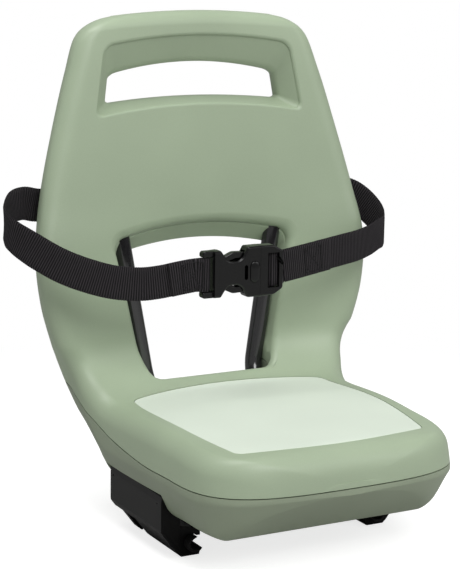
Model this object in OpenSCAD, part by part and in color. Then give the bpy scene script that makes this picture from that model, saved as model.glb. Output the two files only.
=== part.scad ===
// Rear child seat for a bicycle carrier, with its safety belt.
// X runs across the seat, the front faces -Y and Z is up.
// The origin is midway between the two carrier rails, at rail height.

/* [Seat] */
// Height of the sitting surface above the rails
seat_z = 100; // [95:1:110]
// Half width of the seat at its parting line
seat_w = 127; // [122:1:132]
// Front end of the seat
nose_y = -125; // [-130:1:-120]
// How much the sitting surface falls towards its sides
seat_crown = 5; // [3:0.5:8]
// How much the middle of the sitting surface rises over its ends
seat_dome = 4; // [2:0.5:6]
// Depth of the pad below the sitting surface
pad_t = 3; // [2:0.5:4]
// How far the sides of the pad bow outwards
pad_bow = 8; // [4:1:10]

/* [Back] */
// Backward lean of the back
back_lean = 4; // [2:0.5:6]
// Radius between seat and back
bend_r = 46.5; // [40:0.5:52]
// Depth of the arch along the top edge
top_arch = 6; // [2:0.5:8]

/* [Frame] */
// Radius of the steel tube
tube_r = 8; // [7:0.5:8]
// Wall of the steel tube
tube_wall = 1.5; // [1:0.25:2]

/* [Carrier hooks] */
// Half distance between the carrier rails
rail_x = 92; // [90:0.5:94]
// Radius of the carrier rail
rail_r = 5; // [5:0.5:5]
// Radius of the hinge pin
pin_r = 3; // [3:0.1:3]

/* [Belt] */
// Width of the belt webbing
belt_w = 30; // [25:1:30]
// Thickness of the belt webbing
belt_t = 2; // [1.6:0.1:2]

/* [Hidden] */
$fn = 40;

shell_green = "#a3b295";
tub_green = "#8a9480";
pad_mint = "#dbe3d4";
steel_black = "#2d2b2a";
plastic_black = "#262425";
zinc = "#9a9c9e";
web_black = "#2b2a2b";
rubber_black = "#1d1c1c";

bend_y = 93;
bend_z = seat_z + bend_r;
back_a = 90 - back_lean;
q_bend = bend_y - nose_y;
q_back = q_bend + bend_r * back_a * PI / 180;
back_len = 294.7;
q_end = q_back + back_len;
e_back_y = bend_y + bend_r * sin(back_a);
e_back_z = bend_z - bend_r * cos(back_a);
top_z = e_back_z + back_len * sin(back_a);
split_z = seat_z - 33.5;
floor_z = seat_z - 82;
side_x = 107;
pivot_x = 113.3;
pivot_z = 39;

// Smooth curve through a table of pairs
function seg(t, q, i = 0) = (i >= len(t) - 2 || q < t[i + 1][0]) ? i : seg(t, q, i + 1);
function slope(t, i) = i <= 0 ? (t[1][1] - t[0][1]) / (t[1][0] - t[0][0])
  : i >= len(t) - 1 ? (t[i][1] - t[i - 1][1]) / (t[i][0] - t[i - 1][0])
  : (t[i + 1][1] - t[i - 1][1]) / (t[i + 1][0] - t[i - 1][0]);
function hermite(a, b, ma, mb, h, u) = a * (2 * u * u * u - 3 * u * u + 1)
  + h * ma * (u * u * u - 2 * u * u + u) + b * (3 * u * u - 2 * u * u * u)
  + h * mb * (u * u * u - u * u);
function cub(t, q, i = -1) = i < 0 ? cub(t, q, seg(t, q))
  : hermite(t[i][1], t[i + 1][1], slope(t, i), slope(t, i + 1), t[i + 1][0] - t[i][0],
    (q - t[i][0]) / (t[i + 1][0] - t[i][0]));
function mix(a, b, u) = a + (b - a) * u;
function clamp(v, a, b) = min(max(v, a), b);
function spow(c, n) = sign(c) * pow(abs(c), 2 / n);

// Stations along the sitting surface, from the nose to the top of the back
function qf(deg) = q_bend + bend_r * deg * PI / 180;
function qz(z) = q_back + (z + seat_z - e_back_z) / sin(back_a);
function qt(d) = q_end - d;
// Place of the front plane of the back at height z, and how far that is behind its usual place
function back_at(z) = e_back_y + (z - e_back_z) / tan(back_a);
back_shift = back_at(seat_z + 166) - 148;

t_w = [[85, seat_w], [140, seat_w + 3], [197, seat_w + 4], [qf(0), seat_w + 4], [qf(15), 133], [qf(30), 136.5],
  [qf(45), 139], [qf(60), 143.5], [qf(75), 149.5], [qf(86), 154], [qz(70), 162.4],
  [qz(90), 166.2], [qz(110), 168.2], [qz(130), 167.6], [qz(150), 164.8], [qz(190), 155.8],
  [qz(230), 145], [qt(67.4), 133.4], [qt(47.3), 127.3], [qt(32.3), 123], [qt(22.3), 119.6],
  [qt(15.3), 116], [qt(9.2), 110.5], [qt(5.2), 105.5], [q_end, 97]];
t_t = [[42, 82], [170, 82], [190, 80], [q_bend, 68], [qf(5), 60], [qf(15), 52], [qf(25), 47.5],
  [qf(40), 45.5], [qf(52), 43.5], [qf(70), 38.5], [q_back, 34], [qz(80), 32], [qz(150), 30],
  [qz(250), 28], [q_end, 28]];
t_wrap = [[0, seat_crown], [180, seat_crown], [q_bend - 8, 3], [qf(5), -2], [qf(15), -6],
  [qf(40), -14], [qf(60), -18], [q_back, -22], [qz(90), -23], [qz(130), -21],
  [qz(170), -14], [qz(230), -8.4], [qt(37.3), -4], [q_end, -1]];
t_top = [[0, 7], [190, 7], [qf(15), 3], [qf(45), 0], [q_end, 0]];
t_bot = [[0, 17], [190, 17], [qf(20), 10], [qf(50), 3], [q_back, 0], [q_end, 0]];
t_a = [[0, 13], [190, 13], [qf(30), 17], [q_back, 20], [qz(250), 20], [q_end, 16]];
t_flat = [[0, 1], [180, 1], [qf(30), 0], [q_end, 0]];

// Half width, with the rounded plan of the nose
function half_w(q) = q < 85 ? seat_w * pow(1 - pow(clamp((85 - q) / 85.6, 0, 0.9999), 3.2), 1 / 3.2)
  : cub(t_w, q);
function top_drop(q) = q < 30 ? 28 * (1 - sqrt(max(1 - pow((30 - q) / 30, 2), 0))) : 0;
function under(q) = 40 + 42 * (q < 42 ? clamp(q / 42, 0, 1) : 1);
function close_t(q) = q > q_end - 13 ? sqrt(max(1 - pow((q - q_end + 13) / 13.6, 2), 0.03)) : 1;
function depth(q) = q < 42 ? under(q) - top_drop(q) : cub(t_t, q) * close_t(q);
function lead(q) = q > q_end - 13 ? 14 * (1 - close_t(q)) : top_drop(q);

// Frame of a station: point on the surface and the direction of depth
function stn(q) = q < q_bend ? [nose_y + q, seat_z, 0, -1]
  : q < q_back ? [bend_y + bend_r * sin((q - q_bend) / bend_r * 180 / PI),
      bend_z - bend_r * cos((q - q_bend) / bend_r * 180 / PI),
      sin((q - q_bend) / bend_r * 180 / PI), -cos((q - q_bend) / bend_r * 180 / PI)]
  : [e_back_y + (q - q_back) * cos(back_a), e_back_z + (q - q_back) * sin(back_a),
      sin(back_a), -cos(back_a)];

// Closed outline across the body at one station, inset by d
function outline(q, d, nt, na) = let (w = half_w(q) - d, t = depth(q) - 2 * d,
    wt = max(w - cub(t_top, q), w * 0.8), wb = max(w - cub(t_bot, q), w * 0.75),
    a1 = min(max(cub(t_a, q) - d, 2), wt * 0.6), b1 = min(max(15 - d, 2), t * 0.48),
    a2 = min(max(14 - d, 2), wb * 0.6), b2 = min(max(13 - d, 2), t * 0.48),
    vm = clamp(38 - lead(q) - d, t * 0.5, t * 0.92))
  concat(
    [for (i = [0 : nt]) [(wt - a1) * (2 * i / nt - 1), 0]],
    [for (i = [1 : na]) [wt - a1 + a1 * sin(90 * i / na), b1 - b1 * cos(90 * i / na)]],
    [[w, cub(t_flat, q) > 0.5 ? vm : mix(b1, t - b2, 0.5)]],
    [for (i = [0 : na]) [wb - a2 + a2 * cos(90 * i / na), t - b2 + b2 * sin(90 * i / na)]],
    [for (i = [1 : 5]) [(wb - a2) * (1 - 2 * i / 6), t]],
    [for (i = [0 : na]) [-wb + a2 - a2 * sin(90 * i / na), t - b2 + b2 * cos(90 * i / na)]],
    [[-w, cub(t_flat, q) > 0.5 ? vm : mix(b1, t - b2, 0.5)]],
    [for (i = [0 : na - 1]) [-wt + a1 - a1 * cos(90 * i / na), b1 - b1 * sin(90 * i / na)]]);

function sag(z) = z > top_z - 87 ? pow((z - top_z + 87) / 86, 2) : 0;
function dome(q) = abs(q + nose_y) < 110 ? seat_dome / 2 * (1 + cos(180 * (q + nose_y) / 110)) : 0;
function place(q, x, v) = let (s = stn(q), w = half_w(q), f = cub(t_flat, q),
    u = v + lead(q) + (cub(t_wrap, q) * pow(x / max(w, 60), 2) - dome(q))
      * (1 - f * clamp(v / max(depth(q), 1), 0, 1)),
    y = s[0] + s[2] * u, z = s[1] + s[3] * u)
  [x, y, z - top_arch * pow(x / 95, 2) * sag(z)];

// Closed skin through rings of equal length
module skin(rings) {
  n = len(rings[0]);
  m = len(rings);
  polyhedron(points = [for (r = rings) each r],
    faces = concat([[for (i = [0 : n - 1]) i]], [[for (i = [n - 1 : -1 : 0]) (m - 1) * n + i]],
      [for (j = [0 : m - 2], i = [0 : n - 1]) each [
        [j * n + i, (j + 1) * n + i, (j + 1) * n + (i + 1) % n],
        [j * n + i, (j + 1) * n + (i + 1) % n, j * n + (i + 1) % n]]]),
    convexity = 8);
}

// Whole outer body: seat, legs, back and tub as one form
module body(d, q0, q1, stns, nt, na) {
  skin([for (q = stns) if (q >= q0 && q <= q1) [for (p = outline(q, d, nt, na)) place(q, p[0], p[1] + d)]]);
}
full_stns = concat([0, 1.2, 3, 6, 10, 15, 21, 28, 36, 44, 60, 85, 110, 135, 158, 175, 188, 200, 210],
  [for (a = [0 : 7 : 84]) qf(a)], [for (i = [0 : 17]) q_back + 3 + i * 14.6],
  [q_end - 36, q_end - 28, q_end - 20, q_end - 13, q_end - 9, q_end - 5.5, q_end - 2.6, q_end - 0.8, q_end]);
core_stns = concat([14, 22, 32, 44, 60, 90, 130, 160, 180, 195, 208],
  [for (a = [0 : 12 : 84]) qf(a)], [for (i = [0 : 10]) q_back + 6 + i * 24.5], [q_end - 17]);

module solid_body() {
  body(0, 0, q_end, full_stns, 10, 4);
}
module core_body() {
  body(4, 10, q_end, core_stns, 8, 2);
}

// Region below the parting line, lifted by g
module below_split(g) {
  rotate([90, 0, 90])
    linear_extrude(height = 400, center = true)
      polygon([[-200, -60], [-200, split_z + g], [0, split_z + g], [28, split_z + 2.5 + g],
        [66, split_z + 6.5 + g], [86, split_z + 10.5 + g], [100, split_z + 15.5 + g],
        [112, split_z + 21.5 + g], [124, split_z + 32 + g], [140, split_z + 41 + g],
        [230, split_z + 48 + g], [230, -60]]);
}

// Tunnel with a rounded outline in the plane of the back
function ring(v, zb, zt, ab, at, hb, ht, n, g) = [for (i = [0 : 39]) let (c = spow(cos(i * 9), n),
    s = -spow(sin(i * 9), n), u = (s + 1) / 2, a = mix(ab, at, u) + g)
  [a * c, v, mix(zb - g, zt + g, u) + mix(hb, ht, u) * (1 - pow(c, 2))]];
module in_back() {
  translate([0, e_back_y, e_back_z])
    rotate([-back_lean, 0, 0])
      children();
}
h_bot = back_len - 92.6;
h_top = back_len - 31.2;
g_bot = back_len - 82;
g_top = back_len - 56.4;
module handle_cut(g) {
  in_back()
    skin([ring(-40, h_bot, h_top, 105, 94, 9.7, 8.8, 6, 3 + g), ring(-1, h_bot, h_top, 105, 94, 9.7, 8.8, 6, 3 + g),
      ring(0.4, h_bot, h_top, 105, 94, 9.7, 8.8, 6, 1.6 + g), ring(2.6, h_bot, h_top, 105, 94, 9.7, 8.8, 6, 0.2 + g),
      ring(18, g_bot, g_top, 89, 85, 5, 10.5, 6, 0.4 + g), ring(19.5, g_bot, g_top, 89, 85, 5, 10.5, 6, g),
      ring(22.5, g_bot, g_top, 89, 85, 5, 10.5, 6, 0.6 + g), ring(26, g_bot, g_top, 89, 85, 5, 10.5, 6, 3.2 + g),
      ring(28, g_bot, g_top, 89, 85, 5, 10.5, 6, 6 + g), ring(50, g_bot, g_top, 89, 85, 5, 10.5, 6, 6 + g)]);
}
w_bot = seat_z + 2 - e_back_z;
w_top = seat_z + 131.7 - e_back_z;
// Depth and height of the window's floor, which rolls off over the rear edge of the seat
w_floor = [[-70, 2.2], [-21.2, 2.2], [-18.4, 3.2], [-16, 2.8], [-14.1, 1.7], [-12.6, -0.3], [-12, -2.3], [-11, -18],
  [-1, -20]];
module window_cut(g) {
  in_back()
    skin(concat([for (k = w_floor) ring(k[0], w_bot + k[1] + 2, w_top, 64, 91, 0, 12.5, 4.6, 2 + g)],
      [ring(0.6, w_bot - 19, w_top, 64, 91, 0, 12.5, 4.6, 1 + g), ring(3.4, w_bot - 20, w_top, 64, 91, 0, 12.5, 4.6, g),
      ring(24, w_bot - 20, w_top - 17, 66, 90, 0, 11, 4.6, g), ring(28, w_bot - 20, w_top - 18, 66, 90, 0, 11, 4.6, 1 + g),
      ring(32, w_bot - 20, w_top - 18, 66, 90, 0, 11, 4.6, 4 + g),
      ring(80, w_bot - 20, w_top - 18, 66, 90, 0, 11, 4.6, 4 + g)]));
}
// Open space behind the seat, between the legs
module rear_gap(g) {
  hull() {
    for (x = [-1, 1], z = [-40, seat_z + 18])
      translate([x * (61 + g), bend_y + 37.4 - g, z])
        sphere(r = 6, $fn = 16);
    translate([-67 - g, 180, -46])
      cube([134 + 2 * g, 60, seat_z + 70]);
  }
}

// Pad outline and its curved slab between two depths
function pad_half(y) = mix(90, 97.5, (y + 90) / 180) + pad_bow * (1 - pow(y / 90, 2));
function pad_y(u, s) = u < 0 ? mix(-104, 0, u + 1) + 14 * s * s * -u : mix(0, 106, u) - 17 * s * s * u;
function pad_k(k) = 1 - abs(k);
// Corner points of a unit square with slightly rounded corners, clockwise seen from above
pad_side = [[1, -0.95], [1, -0.64], [1, -0.32], [1, 0], [1, 0.32], [1, 0.64], [1, 0.95], [0.993, 0.975], [0.975, 0.993]];
pad_square = [for (k = [0 : 3], p = pad_side) let (a = -90 * k)
  [p[0] * cos(a) + -p[1] * -sin(a), p[0] * sin(a) + -p[1] * cos(a)]];
module pad_slab(g, v0, v1) {
  skin([for (k = [-0.98, -0.66, -0.33, 0, 0.001, 0.33, 0.66, 0.98]) let (v = k <= 0 ? v0 : v1)
    [for (p = pad_square) let (c = p[0], s = p[1], y = pad_y(s, c) + g * s, x = (pad_half(y) + g) * c) place((1 + (y - 1) * pad_k(k)) - nose_y, x * pad_k(k), v)]]);
}

// Straight round bar between two points
function unit(v) = v / norm(v);
function turn(a, b) = acos(clamp(a * b, -1, 1));
module bar(p, q, r) {
  d = q - p;
  translate(p)
    rotate([0, acos(d[2] / norm(d)), atan2(d[1], d[0])])
      cylinder(r = r, h = norm(d));
}
// Points along a path whose corners are rounded with radius rb
function corner(p, o, n, rb, m) = let (a = unit(p - o), b = unit(n - p), ang = turn(a, b),
    s = unit(cross(a, b)), t = p - a * rb * tan(ang / 2), c = t + cross(s, a) * rb)
  [for (i = [0 : m]) c - cross(s, a) * rb * cos(ang * i / m) + a * rb * sin(ang * i / m)];
function rounded(pts, rb, m) = concat([pts[0]],
  [for (i = [1 : len(pts) - 2]) each corner(pts[i], pts[i - 1], pts[i + 1], rb, m)], [pts[len(pts) - 1]]);
// Hollow tube along a path, the rings turned to stay square to it
module pipe(path, r, ri, k) {
  n = len(path);
  pts = [for (i = [0 : n - 1]) let (t = unit(path[min(i + 1, n - 1)] - path[max(i - 1, 0)]),
      u = unit(cross(t, [0.02, 0.45, -0.9])), w = cross(t, u))
    each concat([for (a = [0 : k - 1]) path[i] + r * (cos(a * 360 / k) * u + sin(a * 360 / k) * w)],
      [for (a = [0 : k - 1]) path[i] + ri * (cos(a * 360 / k) * u + sin(a * 360 / k) * w)])];
  polyhedron(points = pts, faces = [for (a = [0 : k - 1]) let (b = (a + 1) % k, e = (n - 1) * 2 * k) each concat(
    [[a, b, k + b], [a, k + b, k + a], [e + a, e + k + b, e + b], [e + a, e + k + a, e + k + b]],
    [for (i = [0 : n - 2]) let (p = i * 2 * k, q = p + 2 * k) each [[p + a, q + a, q + b], [p + a, q + b, p + b],
      [p + k + a, q + k + b, q + k + a], [p + k + a, p + k + b, q + k + b]]])], convexity = 8);
}

tube_top = [79, back_at(seat_z + 134) + 10.3, seat_z + 134];
tube_low = [56, back_at(seat_z - 2) + 12.8, seat_z - 2];
tube_in = [50, 88, seat_z - 54];
tube_front = [50, -60, seat_z - 54];
function flip(p) = [-p[0], p[1], p[2]];
tube_pts = [flip(tube_top), flip(tube_low), flip(tube_in), flip(tube_front),
  tube_front, tube_in, tube_low, tube_top];

screw_at = [[80, 62], [80, -12], [60, -72]];
module both() {
  children();
  mirror([1, 0, 0])
    children();
}

// Green moulding: seat top, legs and back in one piece
module seat_shell() {
  color(shell_green)
    difference() {
      union() {
        difference() {
          solid_body();
          below_split(0.5);
          difference() {
            core_body();
            handle_cut(4);
            window_cut(4);
            rear_gap(4);
            pad_slab(4, -4, pad_t + 4);
            for (s = [-1, 1])
              hull() {
                translate([s * 77, tube_top[1] - 2, seat_z + 112])
                  sphere(r = 14, $fn = 16);
                translate([s * 80, tube_top[1] + 1, seat_z + 140])
                  sphere(r = 13, $fn = 16);
              }
          }
        }
        for (s = [-1, 1], p = screw_at)
          hull() {
            translate([s * p[0], p[1], split_z])
              cylinder(r = 5, h = 1, $fn = 16);
            translate([s * p[0], p[1], place(p[1] - nose_y, p[0], pad_t + 3)[2]])
              cylinder(r = 6, h = 1, $fn = 16);
          }
      }
      handle_cut(0);
      window_cut(0);
      rear_gap(0);
      pad_slab(0.3, -8, pad_t + 0.15);
      for (s = [-1, 1]) {
        bar([s * tube_low[0], tube_low[1], tube_low[2]], [s * tube_top[0], tube_top[1], tube_top[2]], tube_r + 0.15);
        for (p = screw_at)
          translate([s * p[0], p[1], 0])
            cylinder(r = 2.1, h = split_z + 22, $fn = 16);
        translate([s * 77.7, tube_top[1] + 2, seat_z + 126])
          rotate([-90, 0, 0]) {
            cylinder(r = 2.6, h = 40, $fn = 16);
            translate([0, 0, 11])
              cylinder(r = 5.2, h = 30, $fn = 16);
          }
        for (z = [148, 184])
          translate([s * 67, 150 + back_shift, seat_z + z])
            rotate([-90, 0, 0])
              cylinder(r = 1.9, h = 40, $fn = 16);
      }
    }
}

// Space at each side that the carrier hook fills
module hook_bay(g) {
  translate([side_x - g, -26 - g, -60])
    cube([80, 124 + 2 * g, 60 + 47 + g]);
}

// Lower tub of the seat
module base_shell() {
  color(tub_green)
    difference() {
      union() {
        difference() {
          intersection() {
            solid_body();
            below_split(-0.5);
          }
          difference() {
            body(3, 10, qf(60), core_stns, 8, 2);
            rear_gap(3);
            both()
              hook_bay(3);
          }
        }
        for (s = [-1, 1], p = screw_at)
          hull() {
            translate([s * p[0], p[1], floor_z + 2])
              cylinder(r = 7.5, h = 1, $fn = 16);
            translate([s * p[0], p[1], split_z - 1])
              cylinder(r = 6.5, h = 1, $fn = 16);
          }
        for (s = [-1, 1], y = [-24, 62])
          hull() {
            translate([s * 50 - 22, y - 8, floor_z + 1])
              cube([44, 16, 2]);
            translate([s * 50 - 20, y - 7, tube_in[2] - 2.5])
              cube([40, 14, 1]);
          }
      }
      rear_gap(0);
      both()
        hook_bay(0);
      for (s = [-1, 1]) {
        bar([s * tube_in[0], tube_in[1], tube_in[2]], [s * tube_low[0], tube_low[1], tube_low[2]], tube_r + 2);
        bar([s * 50, 40, tube_in[2]], [s * 50, 90, tube_in[2]], tube_r + 0.1);
        bar([s * 50, -50, tube_in[2]], [s * 50, 41, tube_in[2]], tube_r + 0.1);
        for (p = screw_at)
          translate([s * p[0], p[1], 0]) {
            cylinder(r = 2.3, h = 100, $fn = 16);
            cylinder(r = 4.6, h = split_z - 16, $fn = 16);
          }
        for (y = [-24, 62], x = [-15, 15])
          translate([s * 50 + x, y, floor_z + 4])
            cylinder(r = 1.7, h = 60, $fn = 16);
        for (y = [14, 58])
          translate([s * (side_x - 12), y, pivot_z - 8])
            rotate([0, s * 90, 0])
              cylinder(r = 1.7, h = 30, $fn = 16);
      }
    }
}

// Soft pad set into the sitting surface
module seat_pad() {
  color(pad_mint)
    pad_slab(0, -0.6, pad_t);
}

// Bent steel hoop: under the seat and up into the back
module frame_tube() {
  color(steel_black)
    pipe(rounded(tube_pts, 32, 5), tube_r, tube_r - tube_wall, 16);
}

// Saddle that clamps the tube to the tub
module tube_clip(x, y) {
  translate([x, y - 6, tube_in[2]])
    rotate([-90, 0, 0])
      difference() {
        union() {
          cylinder(r = tube_r + 2.1, h = 12);
          translate([-20, -0.9, 0])
            cube([40, 2.4, 12]);
        }
        translate([0, 0, -1])
          cylinder(r = tube_r + 0.05, h = 14);
        translate([-30, 1.5, -1])
          cube([60, 20, 14]);
        for (s = [-15, 15])
          translate([s, -5, 6])
            rotate([-90, 0, 0])
              cylinder(r = 2.1, h = 12);
      }
}
module tube_clips() {
  color(zinc)
    for (s = [-1, 1], y = [-24, 62])
      tube_clip(s * 50, y);
}

// Pan head screw, head up, seated at z = 0
module pan_screw(r, rh, hh, len) {
  difference() {
    union() {
      translate([0, 0, -len])
        cylinder(r = r, h = len + 0.1);
      cylinder(r = rh, h = hh);
    }
    for (a = [0, 90])
      rotate([0, 0, a])
        translate([-rh * 0.6, -0.5, hh * 0.45])
          cube([rh * 1.2, 1, hh]);
  }
}
module clip_screws() {
  color(zinc)
    for (s = [-1, 1], y = [-24, 62], x = [-15, 15])
      translate([s * 50 + x, y, tube_in[2] + 0.9])
        pan_screw(1.65, 3.4, 2.2, 15);
}

// Rubber sleeve where each tube leaves the tub
module tube_grommets() {
  color(rubber_black)
    for (s = [-1, 1]) {
      d = unit([s * (tube_low[0] - tube_in[0]), tube_low[1] - tube_in[1], tube_low[2] - tube_in[2]]);
      p = [s * tube_in[0], tube_in[1], tube_in[2]];
      difference() {
        bar(p + d * 35, p + d * 58, tube_r + 1.9);
        bar(p + d * 33, p + d * 60, tube_r + 0.02);
      }
    }
}

// Cross screw that locks each tube end in the back
module tube_screws() {
  color(zinc)
    for (s = [-1, 1])
      translate([s * 77.7, tube_top[1] + 13, seat_z + 126])
        rotate([-90, 0, 0])
          pan_screw(2.5, 4.6, 2.4, 5.1);
}

module shell_screws() {
  color(zinc)
    for (s = [-1, 1], p = screw_at)
      translate([s * p[0], p[1], split_z - 16])
        mirror([0, 0, 1])
          pan_screw(2, 4.2, 3, 34);
}

// Steel block that carries the hinge pin of one hook
module pivot_block() {
  difference() {
    union() {
      translate([side_x, 4, pivot_z - 13])
        cube([1.5, 64, 19]);
      for (y = [4, 63]) {
        translate([side_x, y, pivot_z - 4.5])
          cube([pivot_x - side_x, 5, 9]);
        translate([pivot_x, y, pivot_z])
          rotate([-90, 0, 0])
            cylinder(r = 4.5, h = 5);
      }
    }
    translate([pivot_x, 0, pivot_z])
      rotate([-90, 0, 0])
        cylinder(r = pin_r + 0.02, h = 80);
    for (y = [14, 58])
      translate([side_x - 1, y, pivot_z - 8])
        rotate([0, 90, 0])
          cylinder(r = 2.1, h = 10);
  }
}
module pivot_block_right() {
  color(zinc)
    pivot_block();
}
module pivot_block_left() {
  color(zinc)
    mirror([1, 0, 0])
      pivot_block();
}
module block_screws() {
  color(zinc)
    both()
      for (y = [14, 58])
        translate([side_x + 1.5, y, pivot_z - 8])
          rotate([0, 90, 0])
            pan_screw(1.65, 3.2, 1.6, 9);
}

// Hinge pin with a head behind and a groove in front
module pivot_pin() {
  translate([pivot_x, 0, pivot_z])
    rotate([-90, 0, 0])
      difference() {
        union() {
          translate([0, 0, 1])
            cylinder(r = pin_r, h = 67);
          translate([0, 0, 68])
            cylinder(r = 4.4, h = 1.6);
        }
        translate([0, 0, 2.2])
          difference() {
            cylinder(r = 4, h = 0.8);
            cylinder(r = 2.3, h = 0.8);
          }
      }
}
module pivot_pin_right() {
  color(zinc)
    pivot_pin();
}
module pivot_pin_left() {
  color(zinc)
    mirror([1, 0, 0])
      pivot_pin();
}
// Ring clip in the groove of each pin
module pin_clips() {
  color(steel_black)
    both()
      translate([pivot_x, 2.2, pivot_z])
        rotate([-90, 0, 0])
          difference() {
            cylinder(r = 4.6, h = 0.8);
            translate([0, 0, -1])
              cylinder(r = 2.32, h = 3);
            translate([-1.6, -8, -1])
              cube([3.2, 8, 3]);
          }
}

// Slot through which the rail enters a hook, inward and upward
module mouth(h) {
  translate([rail_x, -40, 0])
    rotate([0, 24, 0])
      translate([-30, 0, -h])
        cube([30, 160, 2 * h]);
}
// Upright slab across the seat, given by its outline from the front
module cross_slab(y0, y1, outline) {
  translate([0, y0, 0])
    rotate([90, 0, 0])
      mirror([0, 0, 1])
        linear_extrude(height = y1 - y0)
          polygon(outline);
}
hook_line = [[118.6, -3], [118.6, 27], [109, 25], [108.4, 17], [101, 15], [92, 13.2], [83.5, 13.6], [83.2, 9], [83.2, -2],
  [83.8, -7], [88, -11.6], [104, -12], [112, -10]];
plate_line = [[117.8, 44], [120, 44], [121, 40], [121, 24], [119, -2], [112, -10], [104, -12],
  [104, -8.5], [111, -6.5], [115, -1], [118.2, 23], [118.2, 40]];
wall_line = [[120, 44], [110.4, 44], [109, 30], [108, 12], [108, -10], [112, -10], [119, -2], [121, 24],
  [121, 40]];
// Carrier hook: outer plate, end walls, hinge knuckles and two rail hooks
module bracket() {
  difference() {
    union() {
      cross_slab(-24, 94, plate_line);
      cross_slab(-24, -21, wall_line);
      cross_slab(91, 94, wall_line);
      cross_slab(-24, 8, hook_line);
      cross_slab(32, 82, hook_line);
      for (y = [9.4, 46.4]) {
        translate([pivot_x, y, pivot_z])
          rotate([-90, 0, 0])
            cylinder(r = 4.5, h = 16);
        translate([pivot_x, y, pivot_z - 4.5])
          cube([5.4, 16, 9]);
      }
    }
    translate([rail_x, -30, 0])
      rotate([-90, 0, 0])
        cylinder(r = rail_r + 2, h = 140);
    mouth(rail_r + 0.2);
    translate([pivot_x, -30, pivot_z])
      rotate([-90, 0, 0])
        cylinder(r = pin_r + 0.06, h = 140);
    translate([98, 12, -30])
      cube([30, 16, 24]);
    translate([98, 86, -30])
      cube([30, 20, 31]);
    translate([78, 44, -30])
      cube([22, 26, 50]);
  }
}
module bracket_right() {
  color(plastic_black)
    bracket();
}
module bracket_left() {
  color(plastic_black)
    mirror([1, 0, 0])
      bracket();
}

// Torsion spring round the hinge pin
function coil(n, r, y0, y1) = [for (i = [0 : n * 12]) [pivot_x + r * cos(i * 30 + 180), mix(y0, y1, i / (n * 12)),
  pivot_z + r * sin(i * 30 + 180)]];
module wire(pts, r) {
  n = len(pts);
  skin([for (i = [0 : n - 1]) let (t = unit(pts[min(i + 1, n - 1)] - pts[max(i - 1, 0)]),
      u = unit(cross(t, [0, 1, 0.02])), w = cross(t, u))
    [for (k = [0 : 5]) pts[i] + r * (cos(k * 60) * u + sin(k * 60) * w)]]);
}
module hook_spring() {
  wire(concat([[pivot_x - 4.2, 27, pivot_z - 13], [pivot_x - 4, 27.1, pivot_z - 6]],
    coil(5, 3.9, 27.6, 44), [[pivot_x - 3.2, 44.8, pivot_z - 5], [pivot_x + 1, 45, pivot_z - 11.5]]), 0.6);
}
module hook_spring_right() {
  color(zinc)
    hook_spring();
}
module hook_spring_left() {
  color(zinc)
    mirror([1, 0, 0])
      hook_spring();
}

// Rubber lining of the rail hooks
module hook_liner() {
  difference() {
    for (y = [[-24, 32], [32, 12], [70, 12]])
      translate([rail_x, y[0], 0])
        rotate([-90, 0, 0])
          cylinder(r = rail_r + 2, h = y[1]);
    translate([rail_x, -30, 0])
      rotate([-90, 0, 0])
        cylinder(r = rail_r + 0.1, h = 140);
    mouth(rail_r + 0.5);
  }
}
module hook_liner_right() {
  color(rubber_black)
    hook_liner();
}
module hook_liner_left() {
  color(rubber_black)
    mirror([1, 0, 0])
      hook_liner();
}

// Path of one belt half, from the anchor behind the back to the buckle loop
function hang(pts) = [for (p = pts) [p[0], p[1] + back_shift * clamp((p[1] - 62) / 86, 0, 1), p[2]]];
rear_path = [[52, 178.7, 166], [75, 177.2, 166], [100, 174.9, 166], [125, 171.6, 166], [143, 168.7, 165.5]];
left_run = [[158, 165.6, 167], [172, 161, 170], [186, 153, 168], [197, 140, 160], [200, 128, 153],
  [197, 116, 148], [190, 106, 142], [179, 97, 134], [165, 88, 125.5], [146, 80.5, 117.5],
  [124, 74, 111], [102, 68.5, 108.5], [84, 65, 109.5], [68, 62.8, 112], [56, 62.2, 113.4]];
right_run = [[158, 165.2, 162], [169, 158, 158], [178, 147, 149], [183, 134, 138], [182, 122, 131],
  [175, 110, 129.5], [163, 99, 129.5], [147, 89.5, 126.5], [128, 81, 124], [106, 74, 122.5],
  [82, 67.8, 120.5], [64, 64.4, 118.6], [48, 62.6, 116.6], [36, 62, 115]];
// The free end is folded round the bar and sewn to the run behind it
function fold(x) = [[x + 4, 62.35, 113.7], [x - 1.4, 62.95, 113.7], [x - 3.6, 61.2, 113.7], [x - 3.6, 58.8, 113.7],
  [x - 1.4, 57.05, 113.7], [x + 4, 57.7, 113.7], [x + 9, 59.6, 113.7]];
left_tail = [[68, 60.55, 112], [84, 62.7, 109.6], [87, 63.2, 109.3]];
right_tail = [[48, 60.45, 116.2], [64, 62.2, 118.4], [68, 62.7, 118.8]];

function at_pts(p, s) = let (i = clamp(floor(s), 0, len(p) - 2), u = s - i, a = p[max(i - 1, 0)], b = p[i],
    c = p[i + 1], d = p[min(i + 2, len(p) - 1)])
  0.5 * (2 * b + (c - a) * u + (2 * a - 5 * b + 4 * c - d) * u * u + (3 * b - a - 3 * c + d) * u * u * u);
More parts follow.
